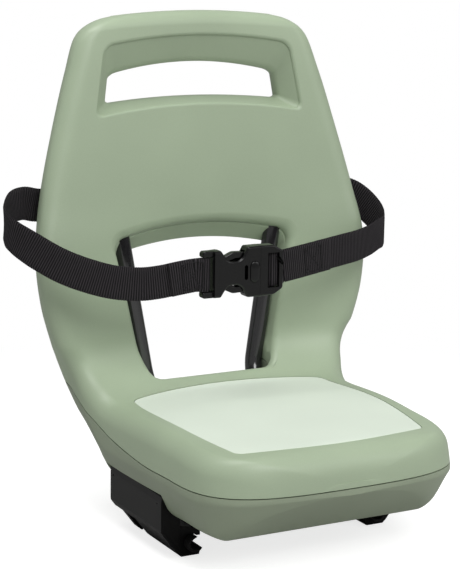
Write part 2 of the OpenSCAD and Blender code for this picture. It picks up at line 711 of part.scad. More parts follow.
// Flat strip of webbing through a list of points
function strip_ring(c, t) = let (n = unit([t[1], -t[0], 0]), b = cross(t, n))
  [for (k = [[-1, -1], [1, -1], [1, 1], [-1, 1]]) c + n * k[0] * belt_t / 2 + b * k[1] * belt_w / 2];
module strip(p, step) {
  m = (len(p) - 1) * step;
  skin([for (i = [0 : m])
    [for (r = strip_ring(at_pts(p, i / step), unit(at_pts(p, min(i, m - 0.5) / step + 0.05) - at_pts(p, max(i, 0.5) / step - 0.05))))
      [r[0], r[1], r[2] + seat_z]]]);
}
module belt_left() {
  color(web_black)
    mirror([1, 0, 0])
      strip(hang(concat(rear_path, left_run, fold(46), left_tail)), 2);
}
module belt_right() {
  color(web_black)
    strip(hang(concat(rear_path, right_run, fold(26), right_tail)), 2);
}

// Screwed plate that holds each belt end behind the back
module belt_guides() {
  color(plastic_black)
    both()
      difference() {
        union() {
          translate([54, 180.2 + back_shift, seat_z + 146])
            cube([26, 3, 40]);
          for (z = [seat_z + 146, seat_z + 182])
            translate([54, 177.3 + back_shift, z])
              cube([26, 4, 4]);
        }
        for (z = [148, 184])
          translate([67, 170 + back_shift, seat_z + z])
            rotate([-90, 0, 0])
              cylinder(r = 1.9, h = 20);
      }
}
module guide_screws() {
  color(zinc)
    both()
      for (z = [148, 184])
        translate([67, 183.2 + back_shift, seat_z + z])
          rotate([-90, 0, 0])
            pan_screw(1.8, 3, 1.8, 16);
}

// Side release buckle, local X along the belt
module at_buckle() {
  translate([-8, 60, seat_z + 113.7])
    children();
}
module block(x0, x1, y, z, e) {
  hull() {
    translate([x0 + e, -y, -z + e])
      cube([x1 - x0 - 2 * e, 2 * y, 2 * (z - e)]);
    translate([x0, -y + e, -z])
      cube([x1 - x0, 2 * (y - e), 2 * z]);
  }
}
module buckle_socket() {
  color(plastic_black)
    at_buckle()
      difference() {
        union() {
          block(-30, 17.6, 6.5, 22.5, 2);
          for (z = [-22.5, 17.5])
            translate([-41, -3.2, z])
              cube([13, 6.4, 5]);
          translate([-38, 0, -20])
            cylinder(r = 1.9, h = 40);
        }
        for (z = [-29, 29])
          translate([-7, 0, z])
            rotate([90, 0, 0])
              cylinder(r = 14.5, h = 20, center = true);
        translate([-24, -3.6, -19.4])
          cube([50, 7.2, 38.8]);
        translate([12, -10, 0])
          rotate([-90, 0, 0])
            for (z = [-5, 5])
              translate([0, z, 0])
                cylinder(r = 5, h = 9);
        translate([7, -10, -5])
          cube([10, 9, 10]);
        translate([-1, -10, -7.5])
          cube([2.2, 9, 15]);
      }
}
module buckle_tongue() {
  color(plastic_black)
    at_buckle()
      difference() {
        union() {
          block(18.2, 28, 6, 22.5, 1.5);
          for (z = [-22.5, 17.5])
            translate([26, -3.2, z])
              cube([16, 6.4, 5]);
          translate([34, 0, -20])
            cylinder(r = 1.9, h = 40);
          for (s = [-1, 1]) {
            translate([-12, -3, s * 13.6 - 3])
              cube([34, 6, 6]);
            hull() {
              translate([-14, -3, s * 15.6 - 3])
                cube([12, 6, 6]);
              translate([-20, -3, s * 12 - 3])
                cube([3, 6, 5]);
            }
          }
          translate([-16, -2, -3])
            cube([40, 3.4, 6]);
        }
        translate([20, -10, -14])
          cube([5, 6, 28]);
      }
}
module buckle_button() {
  color(plastic_black)
    at_buckle()
      difference() {
        translate([12, -6.9, 0])
          rotate([-90, 0, 0])
            union() {
              for (z = [-4.8, 4.8])
                translate([0, z, 0])
                  cylinder(r = 4.7, h = 2.2);
              translate([-4.7, -4.8, 0])
                cube([9.4, 9.6, 2.2]);
            }
        translate([12, -8.1, 0])
          sphere(r = 2.2);
      }
}
module button_spring() {
  color(zinc)
    at_buckle()
      wire([for (i = [0 : 36]) [12 + 2.6 * cos(i * 30), -4.34 + i * 0.054, 2.6 * sin(i * 30)]], 0.3);
}

seat_shell();
base_shell();
seat_pad();
frame_tube();
tube_clips();
clip_screws();
tube_grommets();
tube_screws();
shell_screws();
pivot_block_left();
pivot_block_right();
block_screws();
pivot_pin_left();
pivot_pin_right();
pin_clips();
bracket_left();
bracket_right();
hook_spring_left();
hook_spring_right();
hook_liner_left();
hook_liner_right();
belt_left();
belt_right();
belt_guides();
guide_screws();
buckle_socket();
buckle_tongue();
buckle_button();
button_spring();
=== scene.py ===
"""Rear child bike seat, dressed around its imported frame.

A sage green moulded shell with a handle slot and a window, a soft mint pad let into the seat, a tub
below, a black steel hoop, a ribbed belt with a side release buckle, and two hooks for the carrier.
All lengths inside the shape functions are millimetres, and meshes are made in metres.
"""

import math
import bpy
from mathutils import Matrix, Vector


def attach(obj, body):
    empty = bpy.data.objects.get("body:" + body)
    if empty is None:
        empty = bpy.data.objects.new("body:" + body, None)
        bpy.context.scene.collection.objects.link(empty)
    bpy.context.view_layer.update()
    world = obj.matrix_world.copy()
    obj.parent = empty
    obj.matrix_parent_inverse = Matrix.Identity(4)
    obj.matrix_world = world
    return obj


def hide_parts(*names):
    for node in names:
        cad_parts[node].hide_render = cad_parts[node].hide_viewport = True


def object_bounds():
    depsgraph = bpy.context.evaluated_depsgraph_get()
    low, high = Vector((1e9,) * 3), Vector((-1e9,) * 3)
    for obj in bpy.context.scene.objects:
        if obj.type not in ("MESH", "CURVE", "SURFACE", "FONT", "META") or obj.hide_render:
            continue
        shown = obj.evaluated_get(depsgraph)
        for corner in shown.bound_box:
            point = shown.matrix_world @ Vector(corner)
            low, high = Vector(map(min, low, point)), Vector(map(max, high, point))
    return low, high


bl_info = {
    "name": "Rear child bike seat",
    "version": (1, 0, 0),
    "blender": (4, 5, 0),
    "location": "3D View > Sidebar > Bike seat",
    "description": "Makes the looks of a rear child bike seat around its packed frame",
    "category": "Add Mesh",
}

import bmesh
import bpy
import numpy as np
from mathutils import Matrix

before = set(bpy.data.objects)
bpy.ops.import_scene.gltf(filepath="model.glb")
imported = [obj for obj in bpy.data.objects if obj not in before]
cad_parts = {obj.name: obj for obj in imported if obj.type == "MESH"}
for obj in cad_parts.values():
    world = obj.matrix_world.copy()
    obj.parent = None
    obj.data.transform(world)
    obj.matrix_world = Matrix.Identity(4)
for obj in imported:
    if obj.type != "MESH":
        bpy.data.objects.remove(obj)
CAD_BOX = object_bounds()

# Sizes of the body, the same as in the part's source
SEAT_Z = 100.0
SEAT_W = 127.0
NOSE_Y = -125.0
CROWN = 5.0
DOME = 4.0
PAD_T = 3.0
PAD_BOW = 8.0
LEAN = 4.0
BEND_R = 46.5
BEND_Y = 93.0
TOP_ARCH = 6.0
BACK_LEN = 294.7
TUBE_R = 8.0
BACK_ANGLE = math.radians(90 - LEAN)
Q_BEND = BEND_Y - NOSE_Y
Q_BACK = Q_BEND + BEND_R * BACK_ANGLE
Q_END = Q_BACK + BACK_LEN
BACK_Y = BEND_Y + BEND_R * math.sin(BACK_ANGLE)
BACK_Z = SEAT_Z + BEND_R - BEND_R * math.cos(BACK_ANGLE)
SPLIT_Z = SEAT_Z - 33.5
SIDE_X = 107.0
BUCKLE = (-8, 60, SEAT_Z + 113.7)
RAIL_X = 92.0
HINGE_X, HINGE_Z = 113.3, 39.0


def qf(deg):
    """Place along the surface, deg round the bend."""
    return Q_BEND + BEND_R * math.radians(deg)


def qz(z):
    """Place along the surface, z above the seat, on the straight back."""
    return Q_BACK + (z + SEAT_Z - BACK_Z) / math.sin(BACK_ANGLE)


# Tables of pairs, each a place along the surface and a length there. The slopes are how far the side
# draws in above and below the parting line, the flat shares how much of the thickness the wrap leaves
# flat, and the parting line is a height at each y
HALF_WIDTHS = [(85, SEAT_W), (140, SEAT_W + 3), (197, SEAT_W + 4), (qf(0), SEAT_W + 4), (qf(15), 133),
               (qf(30), 136.5), (qf(45), 139), (qf(60), 143.5), (qf(75), 149.5), (qf(86), 154),
               (qz(70), 162.4), (qz(90), 166.2), (qz(110), 168.2), (qz(130), 167.6), (qz(150), 164.8),
               (qz(190), 155.8), (qz(230), 145), (Q_END - 67.4, 133.4), (Q_END - 47.3, 127.3),
               (Q_END - 32.3, 123), (Q_END - 22.3, 119.6), (Q_END - 15.3, 116), (Q_END - 9.2, 110.5),
               (Q_END - 5.2, 104.5), (Q_END - 2.4, 98), (Q_END - 0.7, 91), (Q_END, 84)]
THICKNESSES = [(42, 78), (170, 78), (190, 76.5), (Q_BEND, 67), (qf(5), 60), (qf(15), 52), (qf(25), 47.5),
               (qf(40), 45.5), (qf(52), 43.5), (qf(70), 38.5), (Q_BACK, 34), (qz(80), 32), (qz(150), 30),
               (qz(250), 28), (Q_END, 28)]
WRAPS = [(0, CROWN), (180, CROWN), (Q_BEND - 8, 3), (qf(5), -2), (qf(15), -6), (qf(40), -14), (qf(60), -18),
         (Q_BACK, -22), (qz(90), -23), (qz(130), -21), (qz(170), -14), (qz(230), -8.4), (qz(300), -4),
         (Q_END, -1)]
TOP_SLOPES = [(0, 7), (190, 7), (qf(15), 3), (qf(45), 0), (Q_END, 0)]
LOW_SLOPES = [(0, 17), (190, 17), (qf(20), 10), (qf(50), 3), (Q_BACK, 0), (Q_END, 0)]
EDGE_WIDTHS = [(0, 13), (190, 13), (qf(30), 17), (Q_BACK, 20), (qz(250), 20), (Q_END, 16)]
FLAT_SHARES = [(0, 1), (180, 1), (qf(30), 0), (Q_END, 0)]
PARTING_LINE = [(-200, SPLIT_Z), (-20, SPLIT_Z), (0, SPLIT_Z + 0.3), (28, SPLIT_Z + 2.5),
                (66, SPLIT_Z + 6.5), (86, SPLIT_Z + 10.5), (100, SPLIT_Z + 15.5), (112, SPLIT_Z + 21.5),
                (124, SPLIT_Z + 32), (140, SPLIT_Z + 41), (230, SPLIT_Z + 48)]


def through(table, q):
    """Smooth curve through a table of pairs: a cubic between two pairs, its slope at each pair that of
    the line between the neighbours."""
    t = np.array(table, float)
    x, y = t[:, 0], t[:, 1]
    m = np.gradient(y, x)
    m[1:-1] = (y[2:] - y[:-2]) / (x[2:] - x[:-2])
    m[0], m[-1] = (y[1] - y[0]) / (x[1] - x[0]), (y[-1] - y[-2]) / (x[-1] - x[-2])
    i = np.clip(np.searchsorted(x, q, side="right") - 1, 0, len(x) - 2)
    h = x[i + 1] - x[i]
    u = (q - x[i]) / h
    return (y[i] * (2 * u**3 - 3 * u**2 + 1) + h * m[i] * (u**3 - 2 * u**2 + u)
            + y[i + 1] * (3 * u**2 - 2 * u**3) + h * m[i + 1] * (u**3 - u**2))


def mix(a, b, u):
    """Point between a and b, u of the way."""
    return a + (b - a) * u


def ease(a, b, x):
    """Smooth step from 0 at a to 1 at b."""
    u = np.clip((x - a) / (b - a), 0, 1)
    return u * u * (3 - 2 * u)


def half_width(q):
    """Half width of the body: a table, and a superellipse of power 3.2 at the nose."""
    u = np.clip((85 - q) / 85.6, 0, 0.9999)
    return np.where(q < 85, SEAT_W * (1 - u**3.2) ** (1 / 3.2), through(HALF_WIDTHS, np.maximum(q, 85)))


def top_drop(q):
    """Fall of the nose below the sitting surface: a quarter superellipse of power 2.5, 30 long and 28
    deep."""
    return 28 * (1 - np.maximum(1 - (np.clip(30 - q, 0, 30) / 30) ** 2.5, 0) ** 0.4)


def closing(q):
    """Share of the thickness left in the last 13 mm of the back: a half ellipse."""
    return np.where(q > Q_END - 13, np.sqrt(np.maximum(1 - ((q - Q_END + 13) / 13.6) ** 2, 0.006)), 1)


def depth(q):
    """Thickness of the body at a place along the surface."""
    nose = 39 + 39 * np.clip(q / 42, 0, 1) - top_drop(q)
    return np.where(q < 42, nose, through(THICKNESSES, np.maximum(q, 42)) * closing(q))


def lead(q):
    """Start of the body below the reference surface, at the nose and at the top of the back."""
    return np.where(q > Q_END - 13, 14 * (1 - closing(q)), top_drop(q))


def place(q, x, v):
    """Point q along the surface, x across it and v deep: a seat raised in its middle by half a cosine
    wave, a round bend and a leaning back, with the surface wrapped forward by the square of x."""
    a = np.clip((q - Q_BEND) / BEND_R, 0, BACK_ANGLE)
    up = np.maximum(q - Q_BACK, 0)
    y = NOSE_Y + np.minimum(q, Q_BEND) + BEND_R * np.sin(a) + up * math.cos(BACK_ANGLE)
    z = SEAT_Z + BEND_R * (1 - np.cos(a)) + up * math.sin(BACK_ANGLE)
    flat = through(FLAT_SHARES, q)
    share = np.clip(v / np.maximum(depth(q), 1), 0, 1)
    dome = DOME / 2 * (1 + np.cos(np.pi * np.clip((q + NOSE_Y) / 110, -1, 1)))
    wrap = through(WRAPS, q) * (x / np.maximum(half_width(q), 60)) ** 2
    u = v + lead(q) + (wrap - dome) * (1 - flat * share)
    y, z = y + np.sin(a) * u, z - np.cos(a) * u
    arch = np.maximum((z - SEAT_Z - 250) / 86, 0) ** 2
    return np.stack(np.broadcast_arrays(x, y, z - TOP_ARCH * (x / 95) ** 2 * arch), -1)


def section(q, counts=(30, 12, 14, 10, 20)):
    """Closed outline across the body at each q: level top, elliptical upper edge, side swelling to the
    parting line, elliptical lower edge, level bottom. Returns x and v, a row for each q."""
    q = np.asarray(q, float)[:, None]
    w, t = half_width(q), depth(q)
    wt = np.maximum(w - through(TOP_SLOPES, q), w * 0.8)
    wb = np.maximum(w - through(LOW_SLOPES, q), w * 0.75)
    a1 = np.minimum(np.maximum(through(EDGE_WIDTHS, q), 2), wt * 0.6)
    b1 = np.minimum(15, t * 0.48)
    a2 = np.minimum(14, wb * 0.6)
    b2 = np.minimum(13, t * 0.48)
    seam = np.clip(38 - lead(q), t * 0.5, t * 0.92)
    vm = mix(mix(b1, t - b2, 0.5), seam, ease(0.2, 0.8, through(FLAT_SHARES, q)))

    def side(v):
        top = w - (w - wt) * np.clip((vm - v) / vm, 0, 1) ** 1.35
        return top - (w - wb) * np.clip((v - vm) / np.maximum(t - vm, 1e-3), 0, 1)

    n0, n1, n2, n3, n4 = counts
    s0 = np.linspace(0, 1, n0, endpoint=False)[None]
    p1 = np.linspace(0, np.pi / 2, n1, endpoint=False)[None]
    s2 = np.linspace(0, 1, n2, endpoint=False)[None]
    p3 = np.linspace(0, np.pi / 2, n3, endpoint=False)[None]
    s4 = np.linspace(0, 1, n4)[None]
    v1, v2, v3 = b1 * (1 - np.cos(p1)), mix(b1, t - b2, s2), t - b2 + b2 * np.sin(p3)
    x = [(wt - a1) * s0, side(v1) - a1 * (1 - np.sin(p1)), side(v2), side(v3) - a2 * (1 - np.cos(p3)),
         (wb - a2) * (1 - s4)]
    v = [0 * s0 * t, v1, v2, v3, t + 0 * s4]
    x, v = np.concatenate(x, 1), np.concatenate(v, 1)
    return np.concatenate([x, -x[:, -2:0:-1]], 1), np.concatenate([v, v[:, -2:0:-1]], 1)


def stations():
    """Places along the body: close at the nose and at the top of the back, 3 mm apart between."""
    th = np.linspace(0.6, 90, 62)
    nose = 85 - 85.6 * np.cos(np.radians(th)) ** 0.625
    nose = nose[nose < 38]
    end = Q_END - 13 + 13.6 * np.sin(np.linspace(0, 1.5, 16))
    return np.concatenate([nose, np.arange(40, Q_END - 15, 3.0), end])


def body_mesh():
    """The whole outer body: its sections carried from the nose to the top of the back."""
    q = stations()
    x, v = section(q)
    return loft("body", place(q[:, None] + 0 * x, x, v), mirror_caps=True)


def grid_faces(m, n, around=True):
    """Quads of a grid of m rows of n points, closed around each row or not."""
    i = np.arange(m - 1)[:, None]
    j = np.arange(n if around else n - 1)[None]
    k = (j + 1) % n
    return np.stack([i * n + j, (i + 1) * n + j, (i + 1) * n + k, i * n + k], -1).reshape(-1, 4)


def make(name, verts, faces, outward=True):
    """A mesh object from points in millimetres and faces, its normals turned outward."""
    me = bpy.data.meshes.new(name)
    me.from_pydata((np.asarray(verts, float).reshape(-1, 3) * 0.001).tolist(), [], faces)
    if outward:
        bm = bmesh.new()
        bm.from_mesh(me)
        bmesh.ops.recalc_face_normals(bm, faces=bm.faces)
        bm.to_mesh(me)
        bm.free()
    ob = bpy.data.objects.new(name, me)
    bpy.context.scene.collection.objects.link(ob)
    return ob


def loft(name, pts, mirror_caps=False):
    """Closed skin through rows of points. Its ends are one flat face each, or with mirror_caps a ladder of
    faces between the two mirrored halves of the row."""
    m, n = pts.shape[:2]
    faces = grid_faces(m, n).tolist()
    if mirror_caps:
        h = n // 2
        j = np.arange(h)
        low = np.stack([j, j + 1, (n - j - 1) % n, (n - j) % n], -1)
        for base in (0, (m - 1) * n):
            rungs = (low + base).tolist()
            rungs[0] = rungs[0][:3]
            rungs[-1] = rungs[-1][:2] + rungs[-1][3:]
            faces += rungs
    else:
        faces += [list(range(n)), list(range((m - 1) * n, m * n))]
    return make(name, pts, faces)


def bake(ob):
    """Puts the result of the modifiers into the mesh."""
    graph = bpy.context.evaluated_depsgraph_get()
    graph.update()
    me = bpy.data.meshes.new_from_object(ob.evaluated_get(graph))
    ob.modifiers.clear()
    old, ob.data = ob.data, me
    me.name = ob.name
    bpy.data.meshes.remove(old)


def carve(ob, tools, operation="DIFFERENCE"):
    """Cuts the tools out of a solid, or joins them to it, and deletes them."""
    for t in tools:
        mod = ob.modifiers.new("cut", "BOOLEAN")
        mod.object, mod.operation, mod.solver = t, operation, "MANIFOLD"
    bake(ob)
    for t in tools:
        bpy.data.objects.remove(t)


def finish_piece(ob, look, body, angle=32, replaces=(), weighted=True):
    """Smooth shading up to an angle, the material, and what the piece rides on and stands for."""
    me = ob.data
    me.materials.clear()
    me.materials.append(look)
    me.shade_smooth()
    me.set_sharp_from_angle(angle=math.radians(angle))
    if weighted:
        mod = ob.modifiers.new("normals", "WEIGHTED_NORMAL")
        mod.keep_sharp = True
        bake(ob)
    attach(ob, body)
    if replaces:
        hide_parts(*replaces)
    return ob


def local(y, z):
    """Depth and height of a point in the plane of the back."""
    c, s = math.cos(math.radians(LEAN)), math.sin(math.radians(LEAN))
    return c * (y - BACK_Y) - s * (z - BACK_Z), s * (y - BACK_Y) + c * (z - BACK_Z)


def from_back(x, v, h):
    """Point x across, v deep and h up in the plane of the back."""
    c, s = math.cos(math.radians(LEAN)), math.sin(math.radians(LEAN))
    return np.stack(np.broadcast_arrays(x, BACK_Y + c * v + s * h, BACK_Z - s * v + c * h), -1)


def surface(x, h, rear=0.0):
    """Depth, in the plane of the back, of the body's surface at x across and h up. The place along the
    surface is halved down until its height is h. rear is the share of the thickness."""
    lo, hi = np.full(np.shape(h), Q_BEND - 30.0), np.full(np.shape(h), Q_END - 1.0)
    for _ in range(34):
        q = (lo + hi) / 2
        p = place(q, x, depth(q) * rear)
        low = local(p[..., 1], p[..., 2])[1] < h
        lo, hi = np.where(low, q, lo), np.where(low, hi, q)
    p = place(hi, x, depth(hi) * rear)
    return local(p[..., 1], p[..., 2])[0]


def unit_square(side, top, low):
    """Square from -1 to 1 with elliptical corners, top and low giving their width and height, with side
    points along each side, anticlockwise from the lower right."""
    p = np.linspace(0, np.pi / 2, 10)
    t = np.linspace(-1, 1, side + 2)[1:-1]
    (tx, ty), (bx, by) = [(1 - a * (1 - np.cos(p)), 1 - b * (1 - np.sin(p))) for a, b in (top, low)]
    up = mix(low[1] - 1, 1 - top[1], (t + 1) / 2)
    one = 1 + 0 * t
    x = np.concatenate([one, tx, -t * (1 - top[0]), -tx[::-1], -one, -bx, t * (1 - low[0]), bx[::-1]])
    y = np.concatenate([up, ty, one, ty[::-1], up[::-1], -by, -one, -by[::-1]])
    return x, y


def opening(square, zb, zt, ab, at, hb, ht, g=0.0):
    """Outline of an opening: a rounded square whose half width goes from ab below to at above, with
    arched lower and upper sides, larger by g all round."""
    c, s = square
    u = (s + 1) / 2
    z = mix(zb - g, zt + g, u) + mix(hb, ht, u) * (1 - c**2)
    return (mix(ab, at, u) + g) * c, z


def round_in(r, count=9):
    """Offsets of a rounded edge: outward offset and depth along a quarter circle."""
    p = np.linspace(0, np.pi / 2, count)
    return r * (1 - np.sin(p)), r * (1 - np.cos(p))


def stack_cutter(name, square, levels):
    """A cutter through the back. Each level has an outline, an offset, a depth from the front surface or
    from the rear one."""
    rows = []
    for shape, g, v, rear in levels:
        x, h = opening(square, *shape, g=g)
        rows.append(from_back(x, surface(x, h, rear) + v, h))
    return loft(name, np.array(rows))


HANDLE_LOW, HANDLE_TOP = SEAT_Z + 245.4 - BACK_Z, SEAT_Z + 306.8 - BACK_Z
SLOT_LOW, SLOT_TOP = SEAT_Z + 256 - BACK_Z, SEAT_Z + 281.6 - BACK_Z
WINDOW_LOW, WINDOW_TOP = SEAT_Z + 2 - BACK_Z, SEAT_Z + 131.7 - BACK_Z


def handle_cutter():
    """The handle: a funnel from the front outline to a narrower slot, with rounded edges front and rear."""
    wide = np.array([HANDLE_LOW, HANDLE_TOP, 105, 94, 9.7, 8.8])
    slot = np.array([SLOT_LOW, SLOT_TOP, 89, 85, 5, 10.5])
    square = unit_square(46, (0.1, 0.3), (0.07, 0.24))
    levels = [(wide, 3.2, -40, 0)]
    levels += [(wide, g, v - 0.03, 0) for g, v in zip(*round_in(3.2))]
    levels += [(mix(wide, slot, u), 0.0, mix(3.2, 17, u), 0) for u in np.linspace(0.1, 0.9, 8)]
    levels += [(slot, 0.0, 18.5, 0), (slot, 0.0, -4.0, 1)]
    levels += [(slot, g, -v + 0.03, 1) for g, v in zip(*(a[::-1] for a in round_in(4.0)))]
    levels += [(slot, 4.0, 30, 1)]
    return stack_cutter("handle_cutter", square, levels)


def window_cutter():
    """The window: sides and top are rounded in from the front, the top wall slopes down to the rear, and
    the bottom rolls off over the rear edge of the seat. The two kinds of path are mixed by a smooth step
    down the outline."""
    square = unit_square(56, (0.13, 0.18), (0.45, 0.45))
    front = np.array([WINDOW_LOW, WINDOW_TOP, 64, 91, 0, 12.5])
    back = np.array([WINDOW_LOW, WINDOW_TOP - 14, 61, 85, 0, 11])
    s = square[1]
    share = ease(0.62, 0.99, -s)
    r = mix(5.0, 9.0, ease(0.3, 0.9, s))
    rows = []

    def row(shape, g, v, rear, y, z):
        x, h = opening(square, *shape, g=g * (1 - 0.7 * share))
        side = from_back(x, surface(x, h, rear) + v, h)
        floor = np.stack([x, y + 0 * x, z + 0 * x], -1)
        rows.append(mix(side, floor, share[:, None]))

    row(front, r, -40, 0, 80, 118)
    for a in np.linspace(0, np.pi / 2, 12):
        b = mix(-0.51, np.pi / 2, a / (np.pi / 2))
        row(front, r * (1 - math.sin(a)), r * (1 - math.cos(a)) - 0.03, 0,
            118.4 + 6 * math.sin(b), 100.6 + 6 * math.cos(b))
    for u in np.linspace(0.12, 1, 8):
        row(mix(front, back, u), 0.0, mix(7.0, 22.0, u), 0, 124.4, 100.6 - 30 * u)
    row(back, 0.0, -4.0, 1, 126, 64)
    for g, v in zip(*(a[::-1] for a in round_in(4.0, 6))):
        row(back, g, -v + 0.03, 1, 128, 60)
    row(back, 4.0, 40, 1, 130, 50)
    return loft("window_cutter", np.array(rows))


def rounded_box(x, z, r, m=10):
    """Rectangle with rounded corners, half width x and from z[0] to z[1]."""
    p = np.linspace(0, np.pi / 2, m)
    cx, cz = x - r, (z[0] + r, z[1] - r)
    xs = np.concatenate([cx + r * np.cos(p), -cx - r * np.sin(p), -cx - r * np.cos(p), cx + r * np.sin(p)])
    zs = np.concatenate([cz[1] + r * np.sin(p), cz[1] + r * np.cos(p),
                         cz[0] - r * np.sin(p), cz[0] - r * np.cos(p)])
    return xs, zs


def gap_cutter():
    """The open space behind the seat and between the legs: a box with rounded front edges."""
    rows = []
    for a in np.linspace(0, np.pi / 2, 8):
        x, z = rounded_box(59 + 6 * math.sin(a), (-60, 118 + 6 * math.sin(a)), 6)
        rows.append(np.stack([x, 130.4 - 6 * math.cos(a) + 0 * x, z], -1))
    x, z = rounded_box(65, (-60, 124), 6)
    rows.append(np.stack([x, 260 + 0 * x, z], -1))
    return loft("gap_cutter", np.array(rows))


def split_cutter(lower, g):
    """Everything below, or above, the parting line moved by g."""
    y = np.concatenate([np.linspace(-200, 18, 40), np.linspace(20, 230, 90)])
    z = through(PARTING_LINE, y) + g
    far = -80.0 if lower else 700.0
    ys, zs = np.concatenate([y, [230, -200]]), np.concatenate([z, [far, far]])
    rows = [np.stack([x + 0 * ys, ys, zs], -1) for x in (-220.0, 220.0)]
    return loft("split_cutter", np.array(rows))


def pad_sheet(k, g, v, side=60):
    """Ring of the pad: a rounded square, wider to the rear, whose four sides bow outward, grown by g,
    scaled by k about a centre and set v deep."""
    c, s = unit_square(side, (0.05, 0.05), (0.05, 0.05))
    front, rear = mix(-104.0, 0.0, s + 1) + 14 * c * c * -s, mix(0.0, 106.0, s) - 17 * c * c * s
    y = np.where(s < 0, front, rear) + g * s
    x = mix(90, 97.5, (y + 90) / 180) + PAD_BOW * (1 - (y / 90) ** 2)
    return place(1 + (y - 1) * k - NOSE_Y, (x + g) * c * k, v + 0 * x)


def pad_cutter():
    """The pocket for the pad, 0.35 mm larger all round."""
    ks = [0.02, 0.2, 0.4, 0.6, 0.8, 0.94]
    rows = [pad_sheet(k, 0.35, -8) for k in ks] + [pad_sheet(1, 0.35, -8)]
    rows += [pad_sheet(1, 0.35, v) for v in (0.0, PAD_T)]
    rows += [pad_sheet(k, 0.35, PAD_T + 0.02) for k in ks[::-1]]
    return loft("pad_cutter", np.array(rows))


def unit(v):
    """Vector of length one."""
    return v / np.linalg.norm(v, axis=-1, keepdims=True)


def sweep(path, xs, ys, ref):
    """Profile carried along a path: each of its points is xs along the side direction and ys along the
    upward one, both square to the path. The path crossed with ref gives the side."""
    path = np.asarray(path, float)
    t = unit(np.gradient(path, axis=0))
    side = unit(np.cross(t, ref))
    up = np.cross(t, side)
    xs, ys = np.atleast_2d(xs)[..., None], np.atleast_2d(ys)[..., None]
    return path[:, None] + side[:, None] * xs + up[:, None] * ys


def rod(name, a, b, r, n=40):
    """Round bar from a to b."""
    p = np.linspace(0, 2 * np.pi, n, endpoint=False)
    a, b = np.array(a, float), np.array(b, float)
    ref = np.array([0.3, 1, 0.2]) if abs(unit(b - a)[1]) < 0.8 else np.array([1.0, 0.1, 0.2])
    return loft(name, sweep(np.array([a, b]), r * np.cos(p), r * np.sin(p), ref))


def arc_corners(pts, r, m=14):
    """Path whose corners are circular arcs of radius r."""
    pts = [np.array(p, float) for p in pts]
    out = [pts[0]]
    for o, p, n in zip(pts, pts[1:], pts[2:]):
        a, b = unit(p - o), unit(n - p)
        turn = math.acos(float(a @ b))
        side = unit(np.cross(a, b))
        start = p - a * r * math.tan(turn / 2)
        w = np.linspace(0, turn, m)[:, None]
        out += list(start + np.cross(side, a) * r * (1 - np.cos(w)) + a * r * np.sin(w))
    return np.array(out + [pts[-1]])


TUBE = [(79, 156.03, SEAT_Z + 134), (56, 149.02, SEAT_Z - 2), (50, 88, SEAT_Z - 54), (50, -60, SEAT_Z - 54)]
TUBE_WALL = 1.5
TUBE_SCREW = (77.7, SEAT_Z + 126)
SCREWS = [(80, 62), (80, -12), (60, -72)]


def linear(text):
    """sRGB hex colour as linear values with full alpha."""
    c = np.array([int(text[i:i + 2], 16) / 255 for i in (1, 3, 5)])
    c = np.where(c <= 0.04045, c / 12.92, ((c + 0.055) / 1.055) ** 2.4)
    return (*c.tolist(), 1.0)


def add(tree, kind, inputs=None, **settings):
    """Adds a node, with its settings, and its inputs as values or as links from other nodes' sockets."""
    node = tree.nodes.new(kind)
    for key, value in settings.items():
        setattr(node, key, value)
    for key, value in (inputs or {}).items():
        if isinstance(value, bpy.types.NodeSocket):
            tree.links.new(value, node.inputs[key])
        else:
            node.inputs[key].default_value = value
    return node


def begin(name):
    """Empty node material and its node tree."""
    mat = bpy.data.materials.new(name)
    mat.use_nodes = True
    mat.node_tree.nodes.clear()
    return mat, mat.node_tree


def close(tree, shader):
    """Adds the output of the material and links the shader to it."""
    add(tree, "ShaderNodeOutputMaterial", {"Surface": shader.outputs[0]})


def moulded(name, colour, grain_mm, roughness, bump, shade=0.05, ior=1.49):
    """Injection moulded plastic with a fine etched grain, drawn coarser than the real one so that it shows.
    The grain breaks up the highlights, and a slow drift of the colour keeps large faces from looking
    printed."""
    mat, tree = begin(name)
    pos = add(tree, "ShaderNodeTexCoord").outputs["Object"]
    slow = add(tree, "ShaderNodeTexNoise", {"Vector": pos, "Scale": 9.0, "Detail": 2.0})
    fine = add(tree, "ShaderNodeTexNoise", {"Vector": pos, "Scale": 1000 / grain_mm, "Detail": 2.0,
                                            "Roughness": 0.6})
    base = linear(colour)
    dark = tuple(c * (1 - shade) for c in base[:3]) + (1.0,)
    light = tuple(min(c * (1 + shade), 1) for c in base[:3]) + (1.0,)
    drift = add(tree, "ShaderNodeMapRange", {"Value": slow.outputs[0], "From Min": 0.3, "From Max": 0.7})
    speck = add(tree, "ShaderNodeMapRange", {"Value": fine.outputs[0], "From Min": 0.3, "From Max": 0.7,
                                             "To Min": -0.25, "To Max": 0.25})
    both = add(tree, "ShaderNodeMath", {0: drift.outputs[0], 1: speck.outputs[0]}, operation="ADD",
               use_clamp=True)
    col = add(tree, "ShaderNodeMix", {0: both.outputs[0], 6: dark, 7: light}, data_type="RGBA")
    rough = add(tree, "ShaderNodeMapRange", {"Value": fine.outputs[0], "From Min": 0.2, "From Max": 0.8,
                                             "To Min": roughness - 0.06, "To Max": roughness + 0.06})
    high = add(tree, "ShaderNodeBump", {"Strength": 0.6, "Distance": bump / 1000, "Height": fine.outputs[0]})
    close(tree, add(tree, "ShaderNodeBsdfPrincipled", {
        "Base Color": col.outputs[2], "Roughness": rough.outputs[0], "Normal": high.outputs[0], "IOR": ior}))
    return mat


